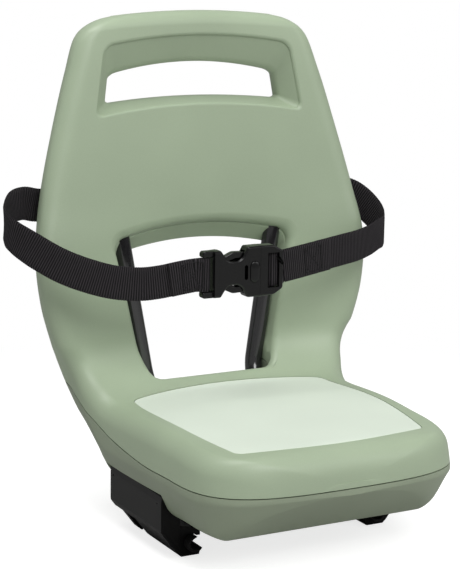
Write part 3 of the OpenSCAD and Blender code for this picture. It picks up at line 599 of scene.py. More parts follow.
def metal(name, colour, roughness, grain_mm, bump):
    """Plated or bare metal: full metallic with a slight mottle in its gloss."""
    mat, tree = begin(name)
    pos = add(tree, "ShaderNodeTexCoord").outputs["Object"]
    fine = add(tree, "ShaderNodeTexNoise", {"Vector": pos, "Scale": 1000 / grain_mm, "Detail": 3.0})
    rough = add(tree, "ShaderNodeMapRange", {"Value": fine.outputs[0], "From Min": 0.3, "From Max": 0.7,
                                             "To Min": roughness - 0.08, "To Max": roughness + 0.08})
    base = linear(colour)
    dark = tuple(c * 0.86 for c in base[:3]) + (1.0,)
    col = add(tree, "ShaderNodeMix", {0: fine.outputs[0], 6: dark, 7: base}, data_type="RGBA")
    high = add(tree, "ShaderNodeBump", {"Strength": 0.4, "Distance": bump / 1000, "Height": fine.outputs[0]})
    close(tree, add(tree, "ShaderNodeBsdfPrincipled", {
        "Base Color": col.outputs[2], "Roughness": rough.outputs[0], "Normal": high.outputs[0],
        "Metallic": 1.0}))
    return mat


YARN_MM = 0.9


def webbing(name, colour, pitch_mm):
    """Woven polyester belt webbing: ribs across the belt at the pitch of the weft, lighter on their crests
    as painted highlight and darker in the grooves between them as painted shade, fine warp yarns along it,
    and a dull sheen. The first UV direction is metres along the belt and the second metres across, so a
    cosine of it has its crests on the ribs of the mesh."""
    mat, tree = begin(name)
    uv = add(tree, "ShaderNodeTexCoord").outputs["UV"]
    xy = add(tree, "ShaderNodeSeparateXYZ", {0: uv})
    phase = add(tree, "ShaderNodeMath", {0: xy.outputs[0], 1: 2 * math.pi * 1000 / pitch_mm},
                operation="MULTIPLY")
    rib = add(tree, "ShaderNodeMath", {0: phase.outputs[0]}, operation="COSINE")
    yarn_phase = add(tree, "ShaderNodeMath", {0: xy.outputs[1], 1: 2 * math.pi * 1000 / YARN_MM},
                     operation="MULTIPLY")
    half = add(tree, "ShaderNodeMath", {0: phase.outputs[0], 1: 0.5}, operation="MULTIPLY")
    lean = add(tree, "ShaderNodeMath", {0: yarn_phase.outputs[0], 1: half.outputs[0]}, operation="ADD")
    yarn = add(tree, "ShaderNodeMath", {0: lean.outputs[0]}, operation="SINE")
    fluff = add(tree, "ShaderNodeTexNoise", {"Vector": uv, "Scale": 2600.0, "Detail": 3.0,
                                             "Roughness": 0.65})
    wear = add(tree, "ShaderNodeTexNoise", {"Vector": uv, "Scale": 60.0, "Detail": 3.0})
    # The rib cosine is painted light: the crests are lighter as painted highlight and the grooves darker as
    # painted shade. The warp yarns and the fluff add a pattern and a random tone, and the sum is also the
    # height of the bump
    weave = add(tree, "ShaderNodeMath", {0: rib.outputs[0], 1: -0.30, 2: 0.4}, operation="MULTIPLY_ADD")
    for part, share in ((yarn, 0.12), (fluff, 0.5)):
        weave = add(tree, "ShaderNodeMath", {0: part.outputs[0], 1: share, 2: weave.outputs[0]},
                    operation="MULTIPLY_ADD")
    base = linear(colour)
    # Colours of the grooves and of the ribs, 0.15 and 4 times the belt's: painted shade and painted
    # highlight
    dark = tuple(v * 0.15 for v in base[:3]) + (1.0,)
    light = tuple(v * 4 for v in base[:3]) + (1.0,)
    painted_rib_light_and_tone = add(tree, "ShaderNodeMapRange", {"Value": weave.outputs[0], "From Min": 0.42, "From Max": 0.98})
    col = add(tree, "ShaderNodeMix", {0: painted_rib_light_and_tone.outputs[0], 6: dark, 7: light}, data_type="RGBA")
    rough = add(tree, "ShaderNodeMapRange", {"Value": wear.outputs[0], "To Min": 0.72, "To Max": 0.9})
    high = add(tree, "ShaderNodeBump", {"Strength": 0.7, "Distance": 0.00035, "Height": weave.outputs[0]})
    close(tree, add(tree, "ShaderNodeBsdfPrincipled", {
        "Base Color": col.outputs[2], "Roughness": rough.outputs[0], "Normal": high.outputs[0], "IOR": 1.3,
        "Sheen Weight": 0.05, "Sheen Roughness": 0.4, "Sheen Tint": linear("#8a8a90")}))
    return mat


_made = {}


def material(name):
    """The material of that name, made once."""
    if name not in _made:
        c = bpy.context.scene.bike_seat_colours
        s = bpy.context.scene.bike_seat_sizes
        # Most black pieces have a lower IOR than the real plastics, for the deep blacks of the photograph
        makers = {
            # Polypropylene from a spark eroded mould: satin, with soft wide highlights
            "polypropylene_sage": lambda n: moulded(n, hex_of(c.shell), s.grain, 0.42, 0.05),
            # The same plastic as the shell, from a coarser mould, its green made greyer and darker as
            # painted shade for the tub under the seat
            "polypropylene_tub_painted_shade": lambda n: moulded(n, hex_of(c.tub), s.grain, 0.5, 0.06),
            # Closed cell foam with a moulded skin: matt and a little cloudy
            "foam_skin_mint": lambda n: moulded(n, hex_of(c.pad), 0.8, 0.62, 0.08, shade=0.035, ior=1.45),
            # Powder coated steel: an orange peel that blurs the long highlights of the tube
            "steel_powder_black": lambda n: moulded(n, "#1f1e20", 1.6, 0.17, 0.02, shade=0.12, ior=1.75),
            # Glass filled polyamide: nearly matt black with a visible spark grain
            "polyamide_black": lambda n: moulded(n, "#070607", 1.0, 0.46, 0.1, shade=0.15, ior=1.28),
            # Acetal of the buckle: hard and smooth, with crisp highlights on its edges
            "acetal_black": lambda n: moulded(n, "#040404", 0.9, 0.24, 0.015, shade=0.1, ior=1.42),
            # Rubber: black and matt
            "rubber_black": lambda n: moulded(n, "#100f0f", 0.9, 0.7, 0.06, shade=0.12, ior=1.35),
            # Zinc plated steel: pale bluish grey, softly mottled
            "steel_zinc": lambda n: metal(n, "#b9bcc0", 0.34, 0.8, 0.02),
            # Spring wire: drawn steel, brighter than the plated screws
            "steel_spring": lambda n: metal(n, "#a9a7a3", 0.24, 0.5, 0.01),
            # Woven polyester: nearly black, with painted highlights on the ribs and painted shade in the
            # grooves
            "polyester_webbing": lambda n: webbing(n, "#1a181a", s.rib_pitch),
            # Bonded polyester thread: a little glossier than the webbing under it
            "polyester_thread": lambda n: moulded(n, "#121113", 0.5, 0.5, 0.03, shade=0.2, ior=1.35),
        }
        _made[name] = makers[name](name)
    return _made[name]


def round_outline(corners, mirrored=True, m=7):
    """Closed outline through corners given as (x, z, radius), each corner an arc that touches both of its
    sides. With mirrored, the corners are the upper half and the lower half is its mirror image."""
    pts = [np.array(c, float) for c in corners]
    if mirrored:
        pts += [p * np.array([1, -1, 1]) for p in pts[::-1]]
    out = []
    for before, corner, after in zip(pts[-1:] + pts[:-1], pts, pts[1:] + pts[:1]):
        p, r = corner[:2], corner[2]
        a, b = unit(p - before[:2]), unit(after[:2] - p)
        turn = math.atan2(a[0] * b[1] - a[1] * b[0], float(a @ b))
        if abs(turn) < 1e-3:
            out.append(p)
            continue
        start = p - a * r * math.tan(abs(turn) / 2)
        side = np.array([-a[1], a[0]]) * math.copysign(1, turn)
        w = np.linspace(0, abs(turn), m)[:, None]
        out += list(start + side * r * (1 - np.cos(w)) + a * r * np.sin(w))
    return np.array(out)


def slab(name, outline, y0, y1, r, steps=5):
    """Plate from y0 to y1 with the given outline in x and z, its edges rounded to radius r by rings that
    step inward along the outline's normals."""
    t = unit(np.roll(outline, -1, 0) - np.roll(outline, 1, 0))
    x, z = outline.T
    area = np.sum(x * np.roll(z, -1) - np.roll(x, -1) * z)
    inward = np.stack([-t[:, 1], t[:, 0]], -1) * math.copysign(1, area)
    p = np.linspace(0, np.pi / 2, steps)
    d = np.concatenate([r * (1 - np.sin(p)), r * (1 - np.sin(p[::-1]))])
    y = np.concatenate([y0 + r * (1 - np.cos(p)), y1 - r * (1 - np.cos(p[::-1]))])
    rows = outline[None] + inward[None] * d[:, None, None]
    y = np.broadcast_to(y[:, None], rows.shape[:2])
    return loft(name, np.stack([rows[..., 0], y, rows[..., 1]], -1))


def shifted(ob, offset):
    """Moves the mesh of a piece by an offset in millimetres."""
    ob.data.transform(Matrix.Translation([v / 1000 for v in offset]))
    return ob


def box_piece(x, y, z):
    """Plain box between two values of x, of y and of z, to be cut away or joined on."""
    corners = [(x[0], z[0]), (x[1], z[0]), (x[1], z[1]), (x[0], z[1])]
    return loft("box", np.array([[(a, at, b) for a, b in corners] for at in y], float))


def buckle_socket():
    """Socket of the side release buckle: waisted by the two finger arcs, open at its left for the bar that
    the webbing goes round, hollow for the prongs, with a slot and the seat of the button in its face."""
    body = round_outline([(-32, 20.6, 3), (-21.5, 21, 2.6), (-14.5, 10.8, 8.5), (-1.5, 10.8, 8.5),
                          (5, 22.7, 2.6), (24, 23, 3)])
    ob = slab("socket", body, -6.8, 6.5, 2.0)
    carve(ob, [box_piece((-50, -28), (-20, 20), (-40, 40)), box_piece((17.7, 50), (-20, 20), (-40, 40))])
    ear = round_outline([(-38.5, 15.4, 1.6), (-38.5, 21, 2.6), (-20, 21, 2.2), (-20, 15.4, 1.6)], False)
    ears = [slab("ear", ear * np.array([1, k]), -4.2, 4.2, 1.4) for k in (1, -1)]
    bar = rod("bar", [-34.6, 0, -17], [-34.6, 0, 17], 1.9)
    carve(ob, ears + [bar], "UNION")
    hollow = box_piece((-24, 16), (-3.8, 3.8), (-19.2, 19.2))
    mouth = box_piece((15, 30), (-3.8, 3.8), (-19.2, 19.2))
    slot = slab("slot", round_outline([(1.6, 6.6, 1.6), (5, 6.6, 1.6)]), -12, -2, 0.2)
    seat = slab("seat", round_outline([(7, 9.8, 4.9), (17, 9.8, 4.9)]), -12, -2, 0.3)
    carve(ob, [hollow, mouth, slot, seat])
    return shifted(ob, BUCKLE)


def buckle_tongue():
    """Tongue of the buckle: its frame with the bar for the webbing, and the two sprung prongs."""
    frame_line = round_outline([(12, 23, 2.5), (32, 22.6, 9), (41.5, 17, 3.5)])
    ob = slab("tongue", frame_line, -6.2, 6.0, 1.8)
    carve(ob, [box_piece((0, 18.2), (-20, 20), (-40, 40)), box_piece((25.6, 37), (-12, 12), (-15.7, 15.7)),
               box_piece((36, 48), (-3.4, 12), (-15.7, 15.7))])
    prong = round_outline([(21, 17.4, 1), (-8, 18.6, 8), (-19.5, 13.6, 1.5), (-20, 9.4, 1.2), (-13, 10.2, 3),
                           (-6, 12.6, 6), (21, 11.2, 1)], False)
    prongs = [slab("prong", prong * np.array([1, k]), -3.3, 3.3, 1.0) for k in (1, -1)]
    rib = box_piece((-16, 20), (-2, 1.4), (-3, 3))
    carve(ob, prongs + [rod("bar", [33, 0, -17], [33, 0, 17], 1.9), rib], "UNION")
    return shifted(ob, BUCKLE)


def buckle_button():
    """Push button of the buckle: an oval dome."""
    w = np.linspace(0, np.pi / 2, 14)
    rows = []
    oval = round_outline([(7.4, 9.4, 4.55), (16.6, 9.4, 4.55)], m=14) - np.array([12, 0])
    for k, y in [(1, -4.7), (1, -7.1)] + [(math.cos(a), -7.1 - 1.3 * math.sin(a)) for a in w[1:-1]]:
        rows.append(np.stack([12 + oval[:, 0] * k, y + 0 * oval[:, 0], oval[:, 1] * k], -1))
    ob = loft("button", np.array(rows))
    carve(ob, [rod("bore", [12, -4, 0], [12, -6.6, 0], 3.2, 32)])
    return shifted(ob, BUCKLE)


def profile_piece(name, outline, y0, y1, side, r=0.5):
    """Plate with a given cross section in x and z, carried along y, on the right or mirrored to the left."""
    return slab(name, np.asarray(outline, float) * np.array([side, 1]), y0, y1, r, 4)


def hook_bracket(side):
    """Folded hook bracket. Its outer plate stands along the tub and leans in below, with a notch in the
    leaning part, end walls, two hooks with toothed jaws over the rail, hinge knuckles and small holes."""
    plate = round_outline([(117.8, 44, 0.8), (120.4, 44, 0.8), (121, 38, 3), (121, 12, 6), (105, -9, 3),
                           (101.5, -12, 1), (84.4, -12, 0.8), (84, -9.6, 0.8), (100.4, -9.6, 1),
                           (118.2, 13, 5), (118, 38, 2)], False)
    wall = round_outline([(120, 44, 0.5), (111, 44, 0.5), (109.4, 30, 0.5), (103, 25, 0.5), (103, -6, 0.5),
                          (111, -2, 0.5), (120.6, 12, 0.5), (120.8, 38, 0.5)], False)
    hook = round_outline([(119.4, 11, 0.5), (119.4, 27, 0.5), (109, 25, 0.5), (108.4, 17, 1),
                          (101, 15, 1.5), (92, 13.2, 2), (84, 13.4, 0.6), (83.6, 10.8, 0.3),
                          (85.6, 9.8, 0.3), (83.6, 8.8, 0.3), (83.6, 4, 0.5), (86.4, 0, 0.5),
                          (83.6, -4, 0.5), (83.4, -8, 0.5), (84.2, -12, 0.8), (101.5, -12, 1),
                          (105, -9, 3)], False)
    ob = profile_piece("bracket", plate, -16, 86, side)
    parts = [profile_piece("wall", wall, y, y + 3, side, 0.4) for y in (-15.8, 82.8)]
    parts += [profile_piece("hook", hook, a, b, side) for a, b in ((-15.6, 8), (32, 80))]
    x = side * HINGE_X
    for y in (9.4, 46.4):
        parts.append(rod("knuckle", [x, y, HINGE_Z], [x, y + 16, HINGE_Z], 4.5, 40))
        parts.append(box_piece(sorted((x, side * 119)), (y, y + 16), (HINGE_Z - 4, HINGE_Z + 4)))
    carve(ob, parts, "UNION")
    tools = [rod("rail", [side * RAIL_X, -40, 0], [side * RAIL_X, 120, 0], 7, 48),
             box_piece(sorted((side * 70, side * RAIL_X)), (-40, 120), (-5.2, 5.2)),
             rod("pin", [x, -40, HINGE_Z], [x, 120, HINGE_Z], 3.06, 40),
             box_piece(sorted((side * 98, side * 128)), (44, 62), (-30, 6)),
             box_piece(sorted((side * 98, side * 128)), (70, 110), (-30, 6)),
             box_piece(sorted((side * 78, side * 100)), (42, 68), (-30, 20))]
    tools += [rod("hole", [side * 110, y, 36], [side * 130, y, 36], 0.9, 16) for y in (80, -8)]
    carve(ob, tools)
    return ob


def hex_of(colour):
    """Text of an sRGB colour held by a property."""
    return "#" + "".join(f"{round(max(0, min(1, v)) * 255):02x}" for v in colour[:3])


def srgb(text):
    """Property default of a hex colour."""
    return tuple(int(text[i:i + 2], 16) / 255 for i in (1, 3, 5))


REAR = [(52, 178.7, 166), (75, 177.2, 166), (100, 174.9, 166), (125, 171.6, 166), (143, 168.7, 165.5)]
LEFT_RUN = [(158, 165.6, 167), (172, 161, 170), (186, 153, 168), (197, 140, 160), (200, 128, 153),
            (197, 116, 148), (190, 106, 142), (179, 97, 134), (165, 88, 125.5), (146, 80.5, 117.5),
            (124, 74, 111), (102, 68.5, 108.5), (84, 65, 109.5), (68, 62.8, 112), (56, 62.2, 113.4)]
RIGHT_RUN = [(158, 165.2, 162), (169, 158, 158), (178, 147, 149), (183, 134, 138), (182, 122, 131),
             (175, 110, 129.5), (163, 99, 129.5), (147, 89.5, 126.5), (128, 81, 124), (106, 74, 122.5),
             (82, 67.8, 120.5), (64, 64.4, 118.6), (48, 62.6, 116.6), (36, 62, 115)]
BAR_LEFT, BAR_RIGHT = 42.6, 25
LEFT_TAIL = [(56, 60.1, 113.4), (68, 60.7, 112), (76, 61.6, 110.8)]
RIGHT_TAIL = [(36, 59.9, 115), (48, 60.5, 116.6), (64, 62.3, 118.6), (82, 65.7, 120.5), (90, 67.7, 121.2)]


def fold(x):
    """The end of a belt half, folded round the bar of the buckle at x."""
    return [(x + 4, 62.35, 113.7), (x - 1.4, 62.95, 113.7), (x - 3.6, 61.2, 113.7), (x - 3.6, 58.8, 113.7),
            (x - 1.4, 57.05, 113.7), (x + 4, 57.7, 113.8), (x + 9, 59.3, 114)]


def smooth_path(pts, s):
    """Smooth curve through the points, which s counts: between two of them a cubic whose slope at each is
    half the step from the point before it to the point after it."""
    p = np.array(pts, float)
    i = np.clip(np.floor(s).astype(int), 0, len(p) - 2)
    u = (s - i)[:, None]
    a, b, c, d = p[np.maximum(i - 1, 0)], p[i], p[i + 1], p[np.minimum(i + 2, len(p) - 1)]
    return 0.5 * (2 * b + (c - a) * u + (2 * a - 5 * b + 4 * c - d) * u**2 + (3 * b - a - 3 * c + d) * u**3)


class Belt:
    """One belt half: its path, even steps along it, and the directions across it and out of it."""

    def __init__(self, pts, flip):
        s = np.linspace(0, len(pts) - 1, 6000)
        p = smooth_path(pts, s) + np.array([0, 0, SEAT_Z])
        if flip:
            p = p * np.array([-1, 1, 1])
        run = np.concatenate([[0], np.cumsum(np.linalg.norm(np.diff(p, axis=0), axis=1))])
        self.length, self.run, self.p = run[-1], run, p
        t = unit(np.gradient(p, axis=0))
        n = unit(np.stack([t[:, 1], -t[:, 0], 0 * t[:, 0]], -1)) * (-1 if flip else 1)
        self.n, self.b = n, np.cross(t, n)

    def at(self, l):
        """Point, outward direction and direction across, l along the belt."""
        p, n, b = [np.stack([np.interp(l, self.run, a[:, k]) for k in range(3)], -1)
                   for a in (self.p, self.n, self.b)]
        return p, unit(n), unit(b)


def ribbon(name, belt, width, thick, pitch):
    """The webbing: a flat band with rounded edges, whose thickness swells at each rib of the weave by the
    size of a sine along it, and whose edges follow the ribs in and out."""
    l = np.linspace(0, belt.length, int(belt.length / (pitch / 6)))
    c, n, b = belt.at(l)
    rib = np.abs(np.sin(np.pi * l / pitch)) ** 0.7
    w = np.linspace(-1, 1, 13)
    edge = np.sqrt(np.clip(1 - np.abs(w) ** 14, 0, 1))
    across = np.concatenate([w, w[::-1][1:-1]])
    sign = np.concatenate([edge, -edge[::-1][1:-1]])
    half = (thick / 2 - 0.42 + 0.4 * rib)[:, None]
    wide = (width / 2 - 0.35 + 0.3 * rib)[:, None]
    b, n = b[:, None] * (wide * across)[..., None], n[:, None] * (half * sign)[..., None]
    ob = loft(name, c[:, None] + b + n)
    uv = ob.data.uv_layers.new(name="weave")
    u = np.repeat(l, len(across)) * 0.001
    v = np.tile(across, len(l)) * width / 2 * 0.001
    idx = np.zeros(len(ob.data.loops), np.int32)
    ob.data.loops.foreach_get("vertex_index", idx)
    uv.data.foreach_set("uv", np.stack([u[idx], v[idx]], -1).ravel().astype(np.float32))
    return ob


def stitches(name, belt, l0, l1, w0, w1, lift):
    """A sewn box with a cross, on both faces of the belt: short threads laid end to end along the lines,
    each a small bead whose radius is a root of a sine along it, so that its ends dip into the webbing."""
    corners = [((l0, w0), (l1, w0)), ((l1, w0), (l1, w1)), ((l1, w1), (l0, w1)), ((l0, w1), (l0, w0)),
               ((l0, w0), (l1, w1)), ((l0, w1), (l1, w0))]
    starts, ends = [], []
    for a, b in corners:
        a, b = np.array(a), np.array(b)
        count = max(int(np.linalg.norm(b - a) / 2.6), 1)
        u = np.linspace(0, 1, count + 1)[:, None]
        starts.append(mix(a, b, u[:-1] + 0.06 / count))
        ends.append(mix(a, b, u[1:] - 0.06 / count))
    a, b = np.concatenate(starts), np.concatenate(ends)
    s = np.linspace(0, 1, 7)
    r = 0.36 * np.sin(np.pi * np.clip(s, 0.07, 0.93)) ** 0.5
    ang = np.linspace(0, 2 * np.pi, 8, endpoint=False)
    d = unit(b - a)
    lw = a[:, None] + (b - a)[:, None] * s[None, :, None]
    side = np.stack([-d[:, 1], d[:, 0]], -1)
    lw = lw[:, :, None] + side[:, None, None] * (r[:, None] * np.cos(ang))[None, ..., None]
    rise = np.broadcast_to((r[:, None] * np.sin(ang))[None] + 0.12 * np.sin(np.pi * s)[None, :, None],
                           lw.shape[:3])
    parts, faces, base = [], [], 0
    k, m, n = lw.shape[:3]
    ring = grid_faces(m, n)
    caps = [list(range(n)), list(range((m - 1) * n, m * n))]
    for sign in (1, -1):
        c, out, across = belt.at(lw[..., 0].ravel())
        h = sign * (lift + rise.ravel())
        parts.append(c + across * lw[..., 1].reshape(-1, 1) + out * h[:, None])
        f = (ring[None] + (np.arange(k) * m * n)[:, None, None] + base).reshape(-1, 4)
        faces += f.tolist()
        faces += [[i + base + j * m * n for i in cap] for j in range(k) for cap in caps]
        base += k * m * n
    return make(name, np.concatenate(parts), faces)


class BikeSeatColours(bpy.types.PropertyGroup):
    """Colours of the mouldings, of the pad and of the floor"""

    shell: bpy.props.FloatVectorProperty(
        name="Shell", description="Colour of the moulded seat and back",
        subtype="COLOR_GAMMA", size=3, min=0, max=1, default=srgb("#9fae94"))
    # The tub's colour is the shell's green made greyer and darker: painted shade of the same plastic under
    # the seat
    tub: bpy.props.FloatVectorProperty(
        name="Tub", description="Colour of the lower tub",
        subtype="COLOR_GAMMA", size=3, min=0, max=1, default=srgb("#8e9983"))
    pad: bpy.props.FloatVectorProperty(
        name="Pad", description="Colour of the soft pad",
        subtype="COLOR_GAMMA", size=3, min=0, max=1, default=srgb("#d3ddcf"))
    floor: bpy.props.FloatVectorProperty(
        name="Floor", description="Colour of the studio floor as a source of light",
        subtype="COLOR_GAMMA", size=3, min=0, max=1, default=srgb("#c0c0bf"))


class BikeSeatSizes(bpy.types.PropertyGroup):
    """Sizes of the mould grain and of the webbing"""

    grain: bpy.props.FloatProperty(
        name="Mould grain", description="Grain of the etched plastic, in millimetres",
        default=0.9, min=0.3, max=3.0)
    belt_width: bpy.props.FloatProperty(
        name="Belt width", description="Width of the webbing, in millimetres",
        default=30.0, min=20.0, max=32.0)
    belt_thickness: bpy.props.FloatProperty(
        name="Belt thickness", description="Thickness of the webbing, in millimetres",
        default=1.9, min=1.2, max=2.4)
    rib_pitch: bpy.props.FloatProperty(
        name="Rib pitch", description="Distance between the ribs of the webbing, in millimetres",
        default=2.1, min=1.0, max=4.0)


class BIKESEAT_OT_shell(bpy.types.Operator):
    """Makes the green moulding: seat top, legs and back in one piece"""

    bl_idname = "bike_seat.shell"
    bl_label = "Seat and back"

    def execute(self, context):
        ob = body_mesh()
        ob.name = "shell_moulding"
        tools = [split_cutter(True, 0.5), handle_cutter(), window_cutter(), gap_cutter(), pad_cutter()]
        for s in (-1, 1):
            top, bend = [np.array(p) * np.array([s, 1, 1]) for p in TUBE[:2]]
            tools.append(rod("bore", bend, top, TUBE_R + 0.2))
            x, z = s * TUBE_SCREW[0], TUBE_SCREW[1]
            tools.append(rod("bore", [x, 158, z], [x, 199, z], 2.6, 24))
            tools.append(rod("bore", [x, 169, z], [x, 199, z], 5.2))
        carve(ob, tools)
        finish_piece(ob, material("polypropylene_sage"), "seat", replaces=("seat_shell",))
        return {"FINISHED"}


class BIKESEAT_OT_tub(bpy.types.Operator):
    """Makes the tub below the seat"""

    bl_idname = "bike_seat.tub"
    bl_label = "Tub"

    def execute(self, context):
        ob = body_mesh()
        ob.name = "tub_moulding"
        tools = [split_cutter(False, -0.5), gap_cutter()]
        for s in (-1, 1):
            bay = [[(x, -17, -60), (x, 88, -60), (x, 88, 46), (x, -17, 46)] for x in (s * SIDE_X, s * 200)]
            tools.append(loft("bay", np.array(bay, float)))
            bend, low = [np.array(p) * np.array([s, 1, 1]) for p in TUBE[1:3]]
            tools.append(rod("bore", low, bend, TUBE_R + 2))
            for px, py in SCREWS:
                tools.append(rod("bore", [s * px, py, 0], [s * px, py, SPLIT_Z - 16], 4.7, 32))
        carve(ob, tools)
        # The tub's material is the shell's plastic in a greyer, darker green as painted shade
        finish_piece(ob, material("polypropylene_tub_painted_shade"), "seat", replaces=("base_shell",))
        return {"FINISHED"}


class BIKESEAT_OT_pad(bpy.types.Operator):
    """Makes the soft pad let into the sitting surface"""

    bl_idname = "bike_seat.pad"
    bl_label = "Pad"

    def execute(self, context):
        rows = [pad_sheet(k, 0.0, PAD_T - 0.02) for k in (0.02, 0.2, 0.4, 0.6, 0.8, 0.95, 1.0)]
        rows.append(pad_sheet(1, 0.0, 1.0))
        for a in np.linspace(0.15, np.pi / 2, 7):
            rows.append(pad_sheet(1, -0.9 * (1 - math.cos(a)), 1.0 - 0.9 * math.sin(a)))
        for k in np.linspace(0.985, 0.02, 34):
            rows.append(pad_sheet(k, -0.9, 0.1 - 0.6 * (1 - k**8)))
        ob = loft("seat_pad_soft", np.array(rows))
        finish_piece(ob, material("foam_skin_mint"), "seat", angle=60, replaces=("seat_pad",))
        return {"FINISHED"}


class BIKESEAT_OT_tube(bpy.types.Operator):
    """Makes the bent steel hoop"""

    bl_idname = "bike_seat.tube"
    bl_label = "Hoop"

    def execute(self, context):
        right = [np.array(p, float) for p in TUBE]
        left = [p * np.array([-1, 1, 1]) for p in right]
        path = arc_corners(left + right[::-1], 32)
        p = np.linspace(0, 2 * np.pi, 48, endpoint=False)
        across = np.array([0.02, 0.45, -0.9])
        outer, inner = [sweep(path, r * np.cos(p), r * np.sin(p), across)
                        for r in (TUBE_R, TUBE_R - TUBE_WALL)]
        rows = np.concatenate([outer, inner[::-1]])
        m, n = rows.shape[:2]
        faces = grid_faces(m, n).tolist()
        j = np.arange(n)
        k = (j + 1) % n
        faces += np.stack([j, k, (m - 1) * n + k, (m - 1) * n + j], -1).tolist()
        ob = make("steel_hoop", rows, faces)
        finish_piece(ob, material("steel_powder_black"), "seat", angle=50,
                     replaces=("frame_tube",))
        return {"FINISHED"}


class BIKESEAT_OT_belt(bpy.types.Operator):
    """Makes the two belt halves and their sewing"""

    bl_idname = "bike_seat.belt"
    bl_label = "Belt"

    def execute(self, context):
        s = context.scene.bike_seat_sizes
        halves = (("left", REAR + LEFT_RUN + fold(BAR_LEFT) + LEFT_TAIL, True),
                  ("right", REAR + RIGHT_RUN + fold(BAR_RIGHT) + RIGHT_TAIL, False))
        for name, pts, flip in halves:
            belt = Belt(pts, flip)
            ob = ribbon("webbing_" + name, belt, s.belt_width, s.belt_thickness, s.rib_pitch)
            finish_piece(ob, material("polyester_webbing"), "seat", angle=70, weighted=False,
                         replaces=("belt_" + name,))
            end = belt.length - 12
            box = stitches("sewing_" + name, belt, end - 19, end, -s.belt_width / 2 + 3.2,
                           s.belt_width / 2 - 3.2, s.belt_thickness / 2 - 0.05)
            finish_piece(box, material("polyester_thread"), "seat", angle=70, weighted=False)
        return {"FINISHED"}


class BIKESEAT_OT_buckle(bpy.types.Operator):
    """Makes the socket, the tongue and the push button of the buckle"""

    bl_idname = "bike_seat.buckle"
    bl_label = "Buckle"

    def execute(self, context):
        for shape, name, body in ((buckle_socket, "buckle_socket", "seat"),
                                  (buckle_tongue, "buckle_tongue", "seat"),
                                  (buckle_button, "buckle_button", "button")):
            ob = shape()
            ob.name = name + "_moulding"
            finish_piece(ob, material("acetal_black"), body, angle=40, replaces=(name,))
        return {"FINISHED"}


class BIKESEAT_OT_hooks(bpy.types.Operator):
    """Makes the two hook brackets"""

    bl_idname = "bike_seat.hooks"
    bl_label = "Hooks"

    def execute(self, context):
        for side, name in ((1, "right"), (-1, "left")):
            ob = hook_bracket(side)
            ob.name = "hook_plate_" + name
            finish_piece(ob, material("polyamide_black"), "hook_" + name, angle=30,
                         replaces=("bracket_" + name,))
        return {"FINISHED"}


class BIKESEAT_OT_fittings(bpy.types.Operator):
    """Gives the screws, pins, blocks, clips, springs, liners and guides their materials"""

    bl_idname = "bike_seat.fittings"
    bl_label = "Fittings"

    def execute(self, context):
        looks = {
            "polyamide_black": ("belt_guides",),
            "rubber_black": ("tube_grommets", "hook_liner_left", "hook_liner_right"),
            "steel_zinc": ("tube_clips", "clip_screws", "tube_screws", "shell_screws", "pivot_block_left",
                           "pivot_block_right", "block_screws", "pivot_pin_left", "pivot_pin_right",
                           "guide_screws"),
            "steel_spring": ("hook_spring_left", "hook_spring_right", "button_spring", "pin_clips"),
        }
        for name, nodes in looks.items():
            for node in nodes:
                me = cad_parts[node].data
                me.materials.clear()
                me.materials.append(material(name))
                me.shade_smooth()
                me.set_sharp_from_angle(angle=math.radians(32))
        return {"FINISHED"}


CAMERA_RIGHT = np.array([0.88012527, -0.47450945, 0.01484216])
CAMERA_UP = np.array([0.08109123, 0.18106609, 0.98012208])
CAMERA_AT = (-0.760375, -1.308336, 0.517032)
CAMERA_LENS = 113.88
WHITE = (1.0, 1.0, 1.0, 1.0)
FLOOR_HALF = 30000
FLOOR_GLOW = 0.76
FADE_FROM, FADE_TO = 0.28, 0.75
WORLD_LIGHT = 0.34


def direct_rays(tree):
    """Socket that is 1 for rays of the camera, also those through clear things, and 0 for all others. The
    floor and the world are white to them and darker as sources of light."""
    ray = add(tree, "ShaderNodeLightPath").outputs
    return add(tree, "ShaderNodeMath", {0: ray["Is Camera Ray"], 1: ray["Is Transmission Ray"]},
               operation="ADD", use_clamp=True).outputs[0]


def put(ob, right, up, at):
    """Places a camera or a lamp, in metres: it looks against the product of its right and up directions."""
    m = np.eye(4)
    m[:3, 0], m[:3, 1], m[:3, 2], m[:3, 3] = right, up, np.cross(right, up), at
    ob.matrix_world = Matrix(m.tolist())


